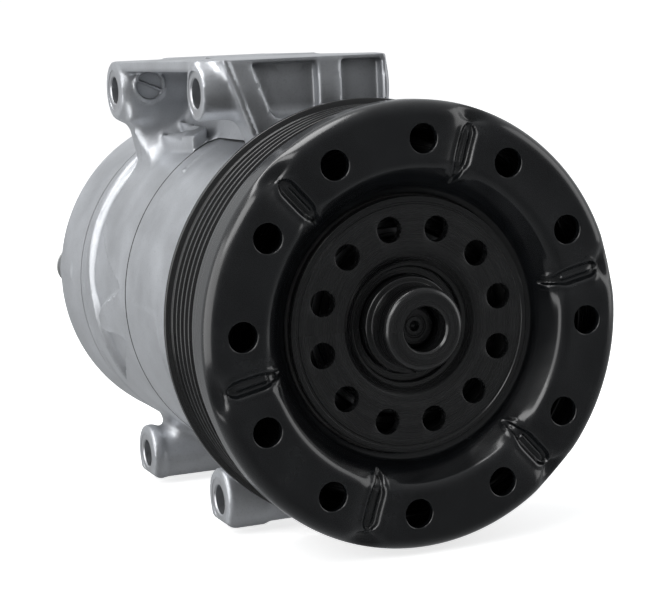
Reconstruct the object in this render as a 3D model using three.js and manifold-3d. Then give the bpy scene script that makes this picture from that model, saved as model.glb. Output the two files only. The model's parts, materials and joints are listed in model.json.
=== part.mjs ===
// Car air-conditioning compressor: variable-displacement swash-plate type, with no clutch and a damped,
// torque-limiting belt pulley. Millimetres, +Z up. The pulley faces -Y and the shaft runs along Y.
// Inside this file a place along the shaft is measured rearwards from the pulley's front plane, and height
// from the shaft's centre line. The whole assembly is then set down with its lower lugs on Z = 0.
import * as THREE from 'three';
import { mergeVertices } from 'three/addons/utils/BufferGeometryUtils.js';
import Module from 'manifold-3d';

const wasm = await Module();
wasm.setup();

// ---------------------------------------------------------------- driving dimensions
const GAP = 0.3;                 // clearance between pieces that touch on the real object
const SEAM = 0.8;                // joint between two castings, with its gasket
const WIDE = 32;                 // sides of a large round
const MEDIUM = 18;               // sides of a medium round
const ROUND = 16;                // sides of a boss
const SMALL = 10;                // sides of a small round
const HOLE = 8;                  // sides of a small drilled hole

const GROOVE_PITCH = 3.56;       // ribbed (PK) belt
const GROOVES = 5;
const RIB_RADIUS = 61.0;         // over the belt ribs
const ROOT_RADIUS = 58.3;
const FLANGE_RADIUS = 62.85;
const RIM_FRONT = 13.0;
const FIRST_RIB = 17.3;
const PULLEY_REAR = 37.6;
const RIM_INSIDE = 54.5;
const WEB_FRONT = 24.0;
const WEB_REAR = 29.0;
const BEARING_SEAT = 27.3;
const SEAT_OUTSIDE = 31.0;
const DAMPER_RADIUS = 36.9;

const PLATE_HOLES = 12;
const PLATE_HOLE_CIRCLE = 52.26;
const PLATE_HOLE_RADIUS = 4.0;
const PLATE_HOLE_ANGLE = 27.09;  // degrees, from +X towards +Z
const PLATE_THICKNESS = 2.2;
const PINCHES = 6;
const PINCH_ANGLE = 12.09;
const DISC_HOLE_CIRCLE = 27.8;
const DISC_HOLE_RADIUS = 3.4;
const DISC_HOLE_ANGLE = 12.15;
const DISC_RADIUS = 36.2;
const DISC_FRONT = 6.9;
const DISC_REAR = 9.9;
const NOSE_FRONT = -2.2;
const NOSE_RADIUS = 10.5;
const HUB_FLANGE_RADIUS = 13.3;
const HUB_REAR = 25.0;
const HUB_BORE = 6.3;

const BODY_RADIUS = 55.1;        // over the castings
const FRONT_WALL = 42.0;         // front of the front housing, behind the pulley
const DOME_INSIDE = 28.0;        // radii of the slope round the front wall
const DOME_OUTSIDE = 46.0;
const DOME_REAR = 51.0;
const SHELL_STEP = 0.9;          // the skin's and the snout tip's step below the full radius
const CRANKCASE_FRONT = 54.0;
const CRANKCASE_RADIUS = 49.8;
const FLANGE_STEP = 91.9;        // front of the raised band before the joint
const FRONT_SEAM = 101.9;        // joint between front housing and cylinder block
const REAR_SEAM = 154.4;         // joint between cylinder block and rear housing
const REAR_RADIUS = 56.0;
const REAR_WALL = 180.0;
const REAR_FACE = 186.0;
const REAR_CORNER = 178.0;
const REAR_SLOPE = 4.0;
const RECESS_RADIUS = 52.4;      // round the valve stack
const CHAMBER_FRONT = 161.2;
const CHAMBER_WALL = [24.0, 27.0];  // radii of the wall between the suction and discharge chambers
const CHAMBER_RADIUS = 43.0;
const SNOUT_RADIUS = 17.5;
const SNOUT_FRONT = 15.5;
const SNOUT_SHOULDER = 17.6;
const SNOUT_REAR = 40.0;
const SHAFT_BORE = 11.2;

const MOUNT_FACE = -43.0;        // X of the four bolting faces
const MOUNT_BACK = 14.0;         // X of their far faces
const MOUNT_HOLE = 4.4;          // for M8 bolts
const HOLE_END = 15.0;           // X where the ears' bolt holes come out
const GROOVE_END = 27.0;         // X where the lugs' bolt holes run out as a groove in the barrel
const EAR_RADIUS = 9.6;
const LUG_RADIUS = 10.0;
const EAR_HEIGHT = 65.8;
const EAR_FRONT = 58.3;
const EAR_REAR = 143.6;
const LUG_HEIGHT = -54.7;
const LUG_FRONT = 55.4;
const LUG_REAR = 128.9;
const LUG_BOTTOM = -64.3;
const LUG_WEB = 8.0;             // half the thickness of the web above a lug
const LUG_WEB_LEFT = -34.0;
const LUG_WEB_TOP = -36.0;
const BRACKET_TOP = 75.4;
const BRACKET_FRONT = 49.0;
const BRACKET_REAR = 145.0;
const BRACKET_LEFT = -38.0;
const BRACKET_FOOT_LEFT = -25.0;
const BRACKET_FOOT = 40.0;
const BRACKET_POCKETS = [[-28, -8], [-0.5, 11]];
const BRACKET_POCKET_REAR = 52.6;
const BRACKET_POCKET_HEIGHTS = [58.0, 72.9];
const OIL_BOSS = { radius: 5.4, left: -40.4, right: -35, y: 104.5, z: 68.3 };
const SHOULDER_BOSS = { x: [-34, -25], y: [106, 140], z: [40, 52] };
const POCKET_FLOOR = 52.4;       // radius of the floor of the hollows between the through bolts
const POCKET_RADIUS = 17.0;
const POCKET_MIDDLE = 129.0;

const BOLTS = 5;
const BOLT_CIRCLE = 48.5;
const BOLT_ANGLE = 32.0;
const BOLT_RADIUS = 3.0;
const BOLT_HOLE = 3.4;
const BOLT_TIP = 74.0;
const BOLT_BOSS_RADIUS = 5.2;
const BOLT_BOSS_FRONT = 68.0;
const WASHER_RADIUS = 6.2;
const WASHER_THICKNESS = 1.4;
const HEAD_RADIUS = 5.2;
const HEAD_TOP = 192.2;

const CYLINDERS = 5;
const CYLINDER_ANGLE = 68.0;
const CYLINDER_CIRCLE = 33.5;
const CYLINDER_RADIUS = 14.6;
const PISTON_RADIUS = 14.3;
const PISTON_TOP = 152.0;
const SWASH_MIDDLE = 92.0;
const SWASH_RADIUS = 42.0;
const SWASH_THICKNESS = 7.0;
const SHOE_RADIUS = 9.0;
const SHAFT_RADIUS = 7.5;
const SHAFT_END = 128.0;
const HINGE_HEIGHT = 18.0;
const HINGE_Y = 76.0;
const HINGE_ARM = [12.8, 22.4];  // heights of the hinge arms, between the spring and the piston jaws

const BEARING_FRONT = 17.8;
const BEARING_REAR = 36.5;
const BALLS = 10;
const BALL_CIRCLE = 22.4;
const BALL_RADIUS = 2.9;

const VALVE_Y = 171.0;           // control valve, along +X
const VALVE_HEIGHT = -16.0;
const VALVE_BORE = 8.2;
const VALVE_BORE_START = 23.0;
const VALVE_BOSS_START = 21.0;
const VALVE_BOSS_END = 56.6;
const VALVE_BOSS_RADIUS = 11.5;
const VALVE_END = 62.4;
const CONNECTOR_REAR = 198.0;
const PORT_FACE = 194.0;
const SUCTION_PORT = { x: 4, z: 4, radius: 8.0 };
const DISCHARGE_PORT = { x: 12.7, z: 31.5, radius: 6.0 };
const HOSE_STUD = { x: 9.5, z: 18.5, radius: 2.6 };
const PORT_PAD = [[-7, -7], [9, -9], [16, 4], [23, 26], [21, 42], [8, 43], [1, 34], [-6, 14]];
const RELIEF = { x: -20.5, z: -28.5, boss: 9.0, thread: 5.0, head: 8.2, cap: 4.6 };

// ---------------------------------------------------------------- materials
function finish(color, roughness, metalness) {
  return new THREE.MeshStandardMaterial({ color, roughness, metalness });
}

const castAluminium = finish(0xb9bcbf, 0.5, 0.85);
const blackCoat = finish(0x15171a, 0.35, 0.3);
const steel = finish(0x9a9ea3, 0.3, 1.0);
const darkSteel = finish(0x4c4f53, 0.4, 0.9);
const turnedAluminium = finish(0xc6c8ca, 0.3, 0.95);
const rubber = finish(0x1a1a1a, 0.85, 0.0);
const blackPlastic = finish(0x1c1c1e, 0.55, 0.0);
const bronze = finish(0xa07c48, 0.4, 0.9);

// ---------------------------------------------------------------- solids
const radians = THREE.MathUtils.degToRad;

function toSolid(geometry) {
  const bare = new THREE.BufferGeometry();
  bare.setAttribute('position', geometry.getAttribute('position'));
  if (geometry.index) bare.setIndex(geometry.index);
  const merged = mergeVertices(bare, 1e-4);
  const corners = merged.getAttribute('position').array;
  const triangles = [];
  let volume = 0;
  const point = (i) => new THREE.Vector3(corners[3 * i], corners[3 * i + 1], corners[3 * i + 2]);
  for (let t = 0; t < merged.index.count; t += 3) {
    const [a, b, c] = [0, 1, 2].map((k) => merged.index.getX(t + k));
    if (a === b || b === c || c === a) continue;
    triangles.push(a, b, c);
    volume += point(a).dot(point(b).cross(point(c)));
  }
  if (volume < 0) triangles.reverse();
  const mesh = { numProp: 3, vertProperties: Float32Array.from(corners), triVerts: Uint32Array.from(triangles) };
  return new wasm.Manifold(new wasm.Mesh(mesh));
}

function toGeometry(solid) {
  const mesh = solid.getMesh();
  const geometry = new THREE.BufferGeometry();
  geometry.setAttribute('position', new THREE.BufferAttribute(Float32Array.from(mesh.vertProperties), 3));
  geometry.setIndex(new THREE.BufferAttribute(Uint32Array.from(mesh.triVerts), 1));
  geometry.computeVertexNormals();
  return geometry;
}

const join = (...solids) => solids.reduce((all, next) => all.add(next));
const cut = (solid, ...tools) => tools.reduce((left, tool) => left.subtract(tool), solid);

// a solid of revolution about the shaft axis, from [radius, y] points
function turned(profile, sides = WIDE) {
  const points = profile.map(([radius, y]) => new THREE.Vector2(radius, y));
  if (profile[0][0] > 0) points.push(points[0].clone());
  return toSolid(new THREE.LatheGeometry(points, sides));
}

const ring = (inner, outer, from, to, sides = MEDIUM) => turned(
  [[inner, from], [outer, from], [outer, to], [inner, to]], sides);
const disc = (radius, from, to, sides = MEDIUM) => turned([[0, from], [radius, from], [radius, to], [0, to]], sides);

function rodY(radius, from, to, x, z, sides = SMALL) {
  const rod = new THREE.CylinderGeometry(radius, radius, to - from, sides);
  return toSolid(rod.translate(x, (from + to) / 2, z));
}

function rodX(radius, from, to, y, z, sides = SMALL) {
  const rod = new THREE.CylinderGeometry(radius, radius, to - from, sides);
  rod.rotateZ(Math.PI / 2);
  return toSolid(rod.translate((from + to) / 2, y, z));
}

function block([x0, x1], [y0, y1], [z0, z1]) {
  const box = new THREE.BoxGeometry(x1 - x0, y1 - y0, z1 - z0);
  return toSolid(box.translate((x0 + x1) / 2, (y0 + y1) / 2, (z0 + z1) / 2));
}

function ball(radius, x, y, z, around = MEDIUM / 2, down = 6) {
  return toSolid(new THREE.SphereGeometry(radius, around, down).translate(x, y, z));
}

// a flat outline of [x, z] points, extruded along the shaft
function slab(outline, from, to) {
  const shape = new THREE.Shape(outline.map(([x, z]) => new THREE.Vector2(x, z)));
  const body = new THREE.ExtrudeGeometry(shape, { depth: to - from, bevelEnabled: false });
  return toSolid(body.rotateX(Math.PI / 2).translate(0, to, 0));
}

const angles = (count, first) => Array.from({ length: count }, (_, i) => radians(first + (360 / count) * i));
const onCircle = (radius, angle) => [radius * Math.cos(angle), radius * Math.sin(angle)];
const turnedTo = (solid, angle) => solid.rotate([0, -THREE.MathUtils.radToDeg(angle), 0]);

const holes = (count, first, circle, radius, from, to, sides = HOLE) => angles(count, first).map(
  (angle) => rodY(radius, from, to, ...onCircle(circle, angle), sides));

const boltHoles = (from, to) => holes(BOLTS, BOLT_ANGLE, BOLT_CIRCLE, BOLT_HOLE, from, to);

// ---------------------------------------------------------------- assembly
const assembly = new THREE.Group();
const compressor = new THREE.Group();
assembly.add(compressor);

function add(name, solid, material) {
  const mesh = new THREE.Mesh(toGeometry(solid), material);
  mesh.name = name;
  compressor.add(mesh);
}

// ---------------------------------------------------------------- castings
const mountHole = (y, z, end) => rodX(MOUNT_HOLE, MOUNT_FACE - 1, end, y, z, SMALL);

// a lower mounting lug: a round boss along X with a flat foot, and a web up to the casting
function lug(y) {
  const boss = rodX(LUG_RADIUS, MOUNT_FACE, MOUNT_BACK, y, LUG_HEIGHT, ROUND);
  const web = block([LUG_WEB_LEFT, MOUNT_BACK], [y - LUG_WEB, y + LUG_WEB], [LUG_HEIGHT, LUG_WEB_TOP]);
  const wide = 2 * LUG_RADIUS;
  const below = block([MOUNT_FACE - 1, MOUNT_BACK + 1], [y - wide, y + wide], [LUG_BOTTOM - wide, LUG_BOTTOM]);
  return cut(join(boss, web), below);
}

function frontHousing() {
  const tipRadius = SNOUT_RADIUS - SHELL_STEP;
  const skinRadius = BODY_RADIUS - SHELL_STEP;
  const shell = turned([
    [SHAFT_BORE, SNOUT_FRONT], [tipRadius, SNOUT_FRONT], [tipRadius, SNOUT_SHOULDER],
    [SNOUT_RADIUS, SNOUT_SHOULDER], [SNOUT_RADIUS, SNOUT_REAR], [DOME_INSIDE, SNOUT_REAR], [DOME_OUTSIDE, FRONT_WALL],
    [skinRadius, DOME_REAR], [skinRadius, FLANGE_STEP],
    [BODY_RADIUS, FLANGE_STEP + 1.5], [BODY_RADIUS, FRONT_SEAM], [CRANKCASE_RADIUS, FRONT_SEAM],
    [CRANKCASE_RADIUS, CRANKCASE_FRONT], [SHAFT_BORE, CRANKCASE_FRONT],
  ]);
  const bosses = holes(BOLTS, BOLT_ANGLE, BOLT_CIRCLE, BOLT_BOSS_RADIUS, BOLT_BOSS_FRONT, FRONT_SEAM, SMALL);
  const crankcase = disc(CRANKCASE_RADIUS - GAP, CRANKCASE_FRONT, FRONT_SEAM + 1, WIDE);
  const body = join(shell, ...bosses, cut(lug(LUG_FRONT), crankcase));
  return cut(body, ...boltHoles(BOLT_TIP - 2, FRONT_SEAM + 1), mountHole(LUG_FRONT, LUG_HEIGHT, GROOVE_END));
}

// the top bracket: a trapezoid beam over the castings, with a bolt ear at each end of its left side
function bracket() {
  const beam = slab([
    [BRACKET_LEFT, BRACKET_TOP], [MOUNT_BACK, BRACKET_TOP],
    [MOUNT_BACK, BRACKET_FOOT], [BRACKET_FOOT_LEFT, BRACKET_FOOT],
  ], BRACKET_FRONT, BRACKET_REAR);
  const ears = [EAR_FRONT, EAR_REAR].map((y) => rodX(EAR_RADIUS, MOUNT_FACE, MOUNT_BACK, y, EAR_HEIGHT, ROUND));
  const pockets = BRACKET_POCKETS.map(
    (across) => block(across, [BRACKET_FRONT - 1, BRACKET_POCKET_REAR], BRACKET_POCKET_HEIGHTS));
  const oilBoss = rodX(OIL_BOSS.radius, OIL_BOSS.left, OIL_BOSS.right, OIL_BOSS.y, OIL_BOSS.z, SMALL);
  return join(cut(beam, ...pockets), oilBoss, ...ears);
}

function cylinderBlock() {
  const front = FRONT_SEAM + SEAM;
  const barrel = disc(BODY_RADIUS, front, REAR_SEAM, WIDE);
  const frontClearance = disc(BODY_RADIUS + 2 * GAP, FRONT_WALL - 5, front, WIDE);
  const rearClearance = disc(REAR_RADIUS + 1, REAR_SEAM, REAR_FACE, WIDE);
  const overhang = cut(bracket(), frontClearance, rearClearance);
  const pockets = angles(BOLTS, BOLT_ANGLE).filter((angle) => Math.sin(angle) < 0.8).map((angle) => {
    const drum = rodX(POCKET_RADIUS, POCKET_FLOOR, BODY_RADIUS + 5, POCKET_MIDDLE, 0, ROUND);
    return turnedTo(drum, angle);
  });
  const cylinders = holes(
    CYLINDERS, CYLINDER_ANGLE, CYLINDER_CIRCLE, CYLINDER_RADIUS, front - 1, REAR_SEAM + 1, MEDIUM);
  const shaftBore = disc(SHAFT_BORE, front - 1, REAR_SEAM + 1);
  const bores = [shaftBore, ...cylinders, ...boltHoles(front - 1, REAR_SEAM + 1)];
  const shoulderBoss = block(SHOULDER_BOSS.x, SHOULDER_BOSS.y, SHOULDER_BOSS.z);
  const outside = cut(join(barrel, lug(LUG_REAR), shoulderBoss), ...pockets);
  const earHoles = [EAR_FRONT, EAR_REAR].map((y) => mountHole(y, EAR_HEIGHT, HOLE_END));
  return cut(join(outside, overhang), ...bores, ...earHoles, mountHole(LUG_REAR, LUG_HEIGHT, GROOVE_END));
}

function rearHousing() {
  const [wallInside, wallOutside] = CHAMBER_WALL;
  const shell = turned([
    [0, REAR_WALL], [wallInside, REAR_WALL], [wallInside, CHAMBER_FRONT], [wallOutside, CHAMBER_FRONT],
    [wallOutside, REAR_WALL], [CHAMBER_RADIUS, REAR_WALL], [CHAMBER_RADIUS, CHAMBER_FRONT],
    [RECESS_RADIUS, CHAMBER_FRONT],
    [RECESS_RADIUS, REAR_SEAM + GAP], [BODY_RADIUS, REAR_SEAM + GAP], [REAR_RADIUS, REAR_CORNER],
    [REAR_RADIUS - REAR_SLOPE, REAR_FACE], [0, REAR_FACE],
  ]);
  const portPad = slab(PORT_PAD, REAR_FACE - 1, PORT_FACE);
  const reliefBoss = rodY(RELIEF.boss, REAR_WALL, REAR_FACE + 0.1, RELIEF.x, RELIEF.z, SMALL);
  const valveBoss = rodX(VALVE_BOSS_RADIUS, VALVE_BOSS_START, VALVE_BOSS_END, VALVE_Y, VALVE_HEIGHT, ROUND);
  const valveBore = rodX(VALVE_BORE, VALVE_BORE_START, VALVE_BOSS_END + 1, VALVE_Y, VALVE_HEIGHT, ROUND);
  const ports = [SUCTION_PORT, DISCHARGE_PORT].map(
    ({ x, z, radius }) => rodY(radius, REAR_WALL - 1, PORT_FACE + 1, x, z, ROUND));
  const studHole = rodY(HOSE_STUD.radius, REAR_FACE, PORT_FACE + 1, HOSE_STUD.x, HOSE_STUD.z);
  const reliefHole = rodY(RELIEF.thread + GAP, REAR_WALL - 1, REAR_FACE + 2, RELIEF.x, RELIEF.z);
  const bolts = boltHoles(REAR_SEAM, REAR_FACE + 5);
  const stackRecess = disc(RECESS_RADIUS, REAR_SEAM - 1, CHAMBER_FRONT, WIDE);
  const body = cut(join(shell, portPad, reliefBoss, valveBoss), stackRecess);
  return cut(body, valveBore, ...ports, studHole, reliefHole, ...bolts);
}

add('front_housing', frontHousing(), castAluminium);
add('cylinder_block', cylinderBlock(), castAluminium);
add('rear_housing', rearHousing(), castAluminium);

const SHEET_GAP = 0.2;           // between a gasket and the castings it seals
const gasket = ring(
  CRANKCASE_RADIUS + GAP, BODY_RADIUS - SEAM, FRONT_SEAM + SHEET_GAP, FRONT_SEAM + SEAM - SHEET_GAP, WIDE);
add('front_gasket', cut(gasket, ...boltHoles(FRONT_SEAM - 1, FRONT_SEAM + 2)), darkSteel);

// ---------------------------------------------------------------- valve stack, between block and rear housing
const STACK_RADIUS = 52.0;
const SUCTION_CIRCLE = 20.0;
const OUTLET_CIRCLE = 38.0;
const INLET_RADIUS = 3.2;
const OUTLET_RADIUS = 2.8;
const REED_SLITS = [-4.4, 4.4];
const SUCTION_REED = [154.7, 155.2];
const VALVE_PLATE = [155.5, 158.5];
const DISCHARGE_REED = [158.8, 159.2];
const RETAINER = [159.5, 160.9];
const cylinderHoles = (circle, radius, from, to) => holes(
  CYLINDERS, CYLINDER_ANGLE, circle, radius, from, to);

function suctionReed([from, to]) {
  const sheet = disc(STACK_RADIUS, from, to);
  const slits = angles(CYLINDERS, CYLINDER_ANGLE).flatMap((angle) => REED_SLITS.map(
    (side) => turnedTo(block([17, 31], [from - 1, to + 1], [side - 0.4, side + 0.4]), angle)));
  const outlets = cylinderHoles(OUTLET_CIRCLE, INLET_RADIUS, from - 1, to + 1);
  return cut(sheet, ...slits, ...outlets, ...boltHoles(from - 1, to + 1));
}

function valvePlate([from, to]) {
  const plate = disc(STACK_RADIUS, from, to);
  const inlets = cylinderHoles(SUCTION_CIRCLE, INLET_RADIUS, from - 1, to + 1);
  const outlets = cylinderHoles(OUTLET_CIRCLE, OUTLET_RADIUS, from - 1, to + 1);
  return cut(plate, ...inlets, ...outlets, ...boltHoles(from - 1, to + 1));
}

function dischargeReed([from, to]) {
  const tongue = (angle) => turnedTo(block([26, 42], [from, to], [-4, 4]), angle);
  return join(ring(26, 30, from, to), ...angles(CYLINDERS, CYLINDER_ANGLE).map(tongue));
}

function retainer([from, to]) {
  const plate = disc(STACK_RADIUS, from, to);
  const inlets = cylinderHoles(SUCTION_CIRCLE, INLET_RADIUS + 0.4, from - 1, to + 1);
  const windows = cylinderHoles(OUTLET_CIRCLE, INLET_RADIUS + 0.4, from - 1, to + 1);
  return cut(plate, ...inlets, ...windows, ...boltHoles(from - 1, to + 1));
}

add('suction_reed', suctionReed(SUCTION_REED), steel);
add('valve_plate', valvePlate(VALVE_PLATE), darkSteel);
add('discharge_reed', dischargeReed(DISCHARGE_REED), steel);
add('retainer_gasket', retainer(RETAINER), darkSteel);

// ---------------------------------------------------------------- through bolts
angles(BOLTS, BOLT_ANGLE).forEach((angle, i) => {
  const [x, z] = onCircle(BOLT_CIRCLE, angle);
  const shank = rodY(BOLT_RADIUS, BOLT_TIP, REAR_FACE + 1, x, z, HOLE);
  const washer = rodY(WASHER_RADIUS, REAR_FACE + GAP, REAR_FACE + GAP + WASHER_THICKNESS, x, z, SMALL);
  const head = rodY(HEAD_RADIUS, REAR_FACE + 1, HEAD_TOP, x, z, 6);
  add(`through_bolt_${i + 1}`, join(shank, washer, head), steel);
});

// ---------------------------------------------------------------- pulley
function pulleyProfile() {
  const belt = [[RIB_RADIUS, RIM_FRONT]];
  for (let groove = 0; groove < GROOVES; groove += 1) {
    const rib = FIRST_RIB + groove * GROOVE_PITCH;
    belt.push([RIB_RADIUS, rib]);
    belt.push([ROOT_RADIUS, rib + GROOVE_PITCH / 2]);
  }
  belt.push([RIB_RADIUS, FIRST_RIB + GROOVES * GROOVE_PITCH]);
  return [
    ...belt, [FLANGE_RADIUS, PULLEY_REAR - 1.2], [FLANGE_RADIUS, PULLEY_REAR], [RIM_INSIDE, PULLEY_REAR],
    [RIM_INSIDE, WEB_REAR], [SEAT_OUTSIDE, WEB_REAR], [SEAT_OUTSIDE, PULLEY_REAR - 0.6],
    [BEARING_SEAT, PULLEY_REAR - 0.6], [BEARING_SEAT, 15], [SEAT_OUTSIDE, 15],
    [SEAT_OUTSIDE, WEB_FRONT], [RIM_INSIDE, WEB_FRONT], [RIM_INSIDE, RIM_FRONT],
  ];
}

// the pressed front plate: a dished ring of sheet, flat round its hole circle, with six radial pinches
function frontPlate() {
  const skirt = RIM_FRONT - GAP;
  const inside = FLANGE_RADIUS - PLATE_THICKNESS;
  const sheet = turned([
    [FLANGE_RADIUS, skirt], [FLANGE_RADIUS, 5.8], [61.2, 1.8], [57.2, 0], [47.2, 0], [44.2, 1.6],
    [41.6, 10.0], [37.2, 10.6], [37.2, 12.8], [42.6, 12.6],
    [46, 3.6], [48, PLATE_THICKNESS], [56.4, PLATE_THICKNESS], [inside, 6.4], [inside, skirt],
  ]);
  const drilled = holes(PLATE_HOLES, PLATE_HOLE_ANGLE, PLATE_HOLE_CIRCLE, PLATE_HOLE_RADIUS, -2, 5);
  const pinches = angles(PINCHES, PINCH_ANGLE).map(
    (angle) => turnedTo(rodX(2.2, 42, 57, -0.7, 0, 6), angle));
  return cut(sheet, ...drilled, ...pinches);
}

function hubDisc() {
  const plate = turned([
    [DISC_RADIUS, DISC_FRONT], [18.8, DISC_FRONT], [17.2, 8.0], [16.6, 10.4], [13.7, 10.9],
    [13.7, 13.4], [18.6, 13.4], [20.2, DISC_REAR], [DISC_RADIUS, DISC_REAR],
  ]);
  return cut(plate, ...holes(PLATE_HOLES, DISC_HOLE_ANGLE, DISC_HOLE_CIRCLE, DISC_HOLE_RADIUS, 5, 12, 6));
}

function hub() {
  const body = turned([
    [HUB_BORE, NOSE_FRONT], [NOSE_RADIUS - 0.8, NOSE_FRONT], [NOSE_RADIUS, NOSE_FRONT + 0.8],
    [NOSE_RADIUS, 7.6], [HUB_FLANGE_RADIUS, 7.6], [HUB_FLANGE_RADIUS, 13.4], [10.2, 13.4],
    [10.2, HUB_REAR], [HUB_BORE, HUB_REAR],
  ], MEDIUM);
  const notch = block([-1, 1], [5, 9], [-HUB_FLANGE_RADIUS - 1, -HUB_FLANGE_RADIUS + 1.2]);
  return cut(body, notch);
}

add('pulley', turned(pulleyProfile()), blackCoat);
add('front_plate', frontPlate(), blackCoat);
add('damper_ring', ring(SEAT_OUTSIDE + 0.5, DAMPER_RADIUS, DISC_REAR + GAP, WEB_FRONT - GAP, WIDE), rubber);
add('hub_disc', hubDisc(), blackCoat);
add('hub', hub(), blackCoat);

// ---------------------------------------------------------------- pulley bearing
const bearingMiddle = (BEARING_FRONT + BEARING_REAR) / 2;

// a bearing ring from radius `seat` to `shoulder`, with its ball track sunk into the shoulder side
function bearingRing(seat, shoulder) {
  const half = BALL_RADIUS * 0.9;
  const depth = BALL_RADIUS + 2 * GAP;
  const track = shoulder > BALL_CIRCLE ? BALL_CIRCLE + depth : BALL_CIRCLE - depth;
  return turned([
    [seat, BEARING_FRONT], [seat, BEARING_REAR], [shoulder, BEARING_REAR],
    [shoulder, bearingMiddle + half + 0.4], [track, bearingMiddle + 1.6], [track, bearingMiddle - 1.6],
    [shoulder, bearingMiddle - half - 0.4], [shoulder, BEARING_FRONT],
  ], MEDIUM);
}

function ballCage() {
  const cage = ring(BALL_CIRCLE - 0.8, BALL_CIRCLE + 0.8, bearingMiddle - 4.2, bearingMiddle + 4.2, 20);
  const balls = angles(BALLS, 0).map((angle) => {
    const [x, z] = onCircle(BALL_CIRCLE, angle);
    return ball(BALL_RADIUS, x, bearingMiddle, z, 6, 4);
  });
  return join(cage, ...balls);
}

const shield = (from) => ring(21.2, 23.5, from, from + 0.8);
const snapRing = cut(ring(SNOUT_RADIUS - 0.6, 19.8, 16.2, 17.4), block([-3, 3], [15, 19], [15, 22]));

add('bearing_inner_ring', bearingRing(SNOUT_RADIUS + 1.5 * GAP, 20.5), steel);
add('bearing_outer_ring', bearingRing(BEARING_SEAT - GAP, 24.2), steel);
add('bearing_ball_cage', ballCage(), steel);
add('bearing_front_shield', shield(BEARING_FRONT + 0.4), rubber);
add('bearing_rear_shield', shield(BEARING_REAR - 1.2), rubber);
add('bearing_snap_ring', snapRing, darkSteel);

// ---------------------------------------------------------------- shaft group
const SHAFT_STEP = HUB_REAR + GAP;
const LUG_PLATE_FRONT = 58.0;
const LUG_PLATE_REAR = 66.0;
const swashFront = SWASH_MIDDLE - SWASH_THICKNESS / 2;
const swashRear = SWASH_MIDDLE + SWASH_THICKNESS / 2;

const driveShaft = turned([
  [0, 6.6], [1.6, 5.0], [5.2, 5.0], [HUB_BORE - GAP, 5.8], [HUB_BORE - GAP, SHAFT_STEP],
  [SHAFT_RADIUS, SHAFT_STEP], [SHAFT_RADIUS, SHAFT_END - 1], [SHAFT_RADIUS - 1, SHAFT_END], [0, SHAFT_END],
], MEDIUM);

function lugPlate() {
  const plate = ring(SHAFT_RADIUS + GAP, 41, LUG_PLATE_FRONT, LUG_PLATE_REAR, WIDE);
  const arms = [-1, 1].map((side) => {
    const inner = 4.8;
    const outer = 9.4;
    const width = side < 0 ? [-outer, -inner] : [inner, outer];
    return block(width, [LUG_PLATE_REAR - 1, HINGE_Y + 5], HINGE_ARM);
  });
  const pinHole = rodX(2.9, -12, 12, HINGE_Y, HINGE_HEIGHT);
  const counterweight = block([-18, 18], [LUG_PLATE_REAR - 1, LUG_PLATE_REAR + 5], [-36, -18]);
  return cut(join(plate, ...arms, counterweight), pinHole);
}

function swashPlate() {
  const plate = disc(SWASH_RADIUS, swashFront, swashRear, WIDE);
  const sleeve = disc(16, swashFront - 4, swashRear + 3);
  const arm = block([-4.4, 4.4], [HINGE_Y - 5, swashFront + 1], HINGE_ARM);
  const bore = disc(SHAFT_RADIUS + 0.9, swashFront - 6, swashRear + 5);
  return cut(join(plate, sleeve, arm), bore, rodX(2.9, -6, 6, HINGE_Y, HINGE_HEIGHT));
}

// compression spring round the shaft, with closed flat-lying ends
class Coil extends THREE.Curve {
  constructor(radius, from, to, turns) {
    super();
    Object.assign(this, { radius, from, to, turns });
  }

  getPoint(t) {
    const angle = 2 * Math.PI * this.turns * t;
    const y = this.from + (this.to - this.from) * t;
    return new THREE.Vector3(this.radius * Math.cos(angle), y, this.radius * Math.sin(angle));
  }
}

function returnSpring() {
  const wire = 0.9;
  const turns = 3;
  const section = new THREE.Shape(angles(5, 0).map((angle) => new THREE.Vector2(...onCircle(wire, angle))));
  const path = new Coil(10.6, LUG_PLATE_REAR + wire + GAP, swashFront - 4 - wire - GAP, turns);
  const sweep = { steps: turns * 10, extrudePath: path, bevelEnabled: false };
  return toSolid(new THREE.ExtrudeGeometry(section, sweep));
}

add('drive_shaft', driveShaft, steel);
add('lug_plate', lugPlate(), darkSteel);
add('swash_plate', swashPlate(), bronze);
add('hinge_pin', rodX(2.6, -9.2, 9.2, HINGE_Y, HINGE_HEIGHT), steel);
add('return_spring', returnSpring(), steel);
add('front_thrust_bearing', ring(12.5, 30, CRANKCASE_FRONT + GAP, LUG_PLATE_FRONT - GAP), steel);
const SLEEVE = [SHAFT_RADIUS + GAP, SHAFT_BORE - GAP];
add('front_radial_bearing', ring(...SLEEVE, 40.0, 53.0), steel);
add('rear_radial_bearing', ring(...SLEEVE, 108.0, 122.0), steel);
add('shaft_seal', ring(...SLEEVE, 27.0, 35.0), rubber);
add('seal_retainer', ring(...SLEEVE, 35.4, 36.8), darkSteel);

// ---------------------------------------------------------------- pistons and shoes
const pistonFoot = SWASH_MIDDLE - 14.5;
const throat = 6.5;
const crown = FRONT_SEAM + SEAM - 0.4;

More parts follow.
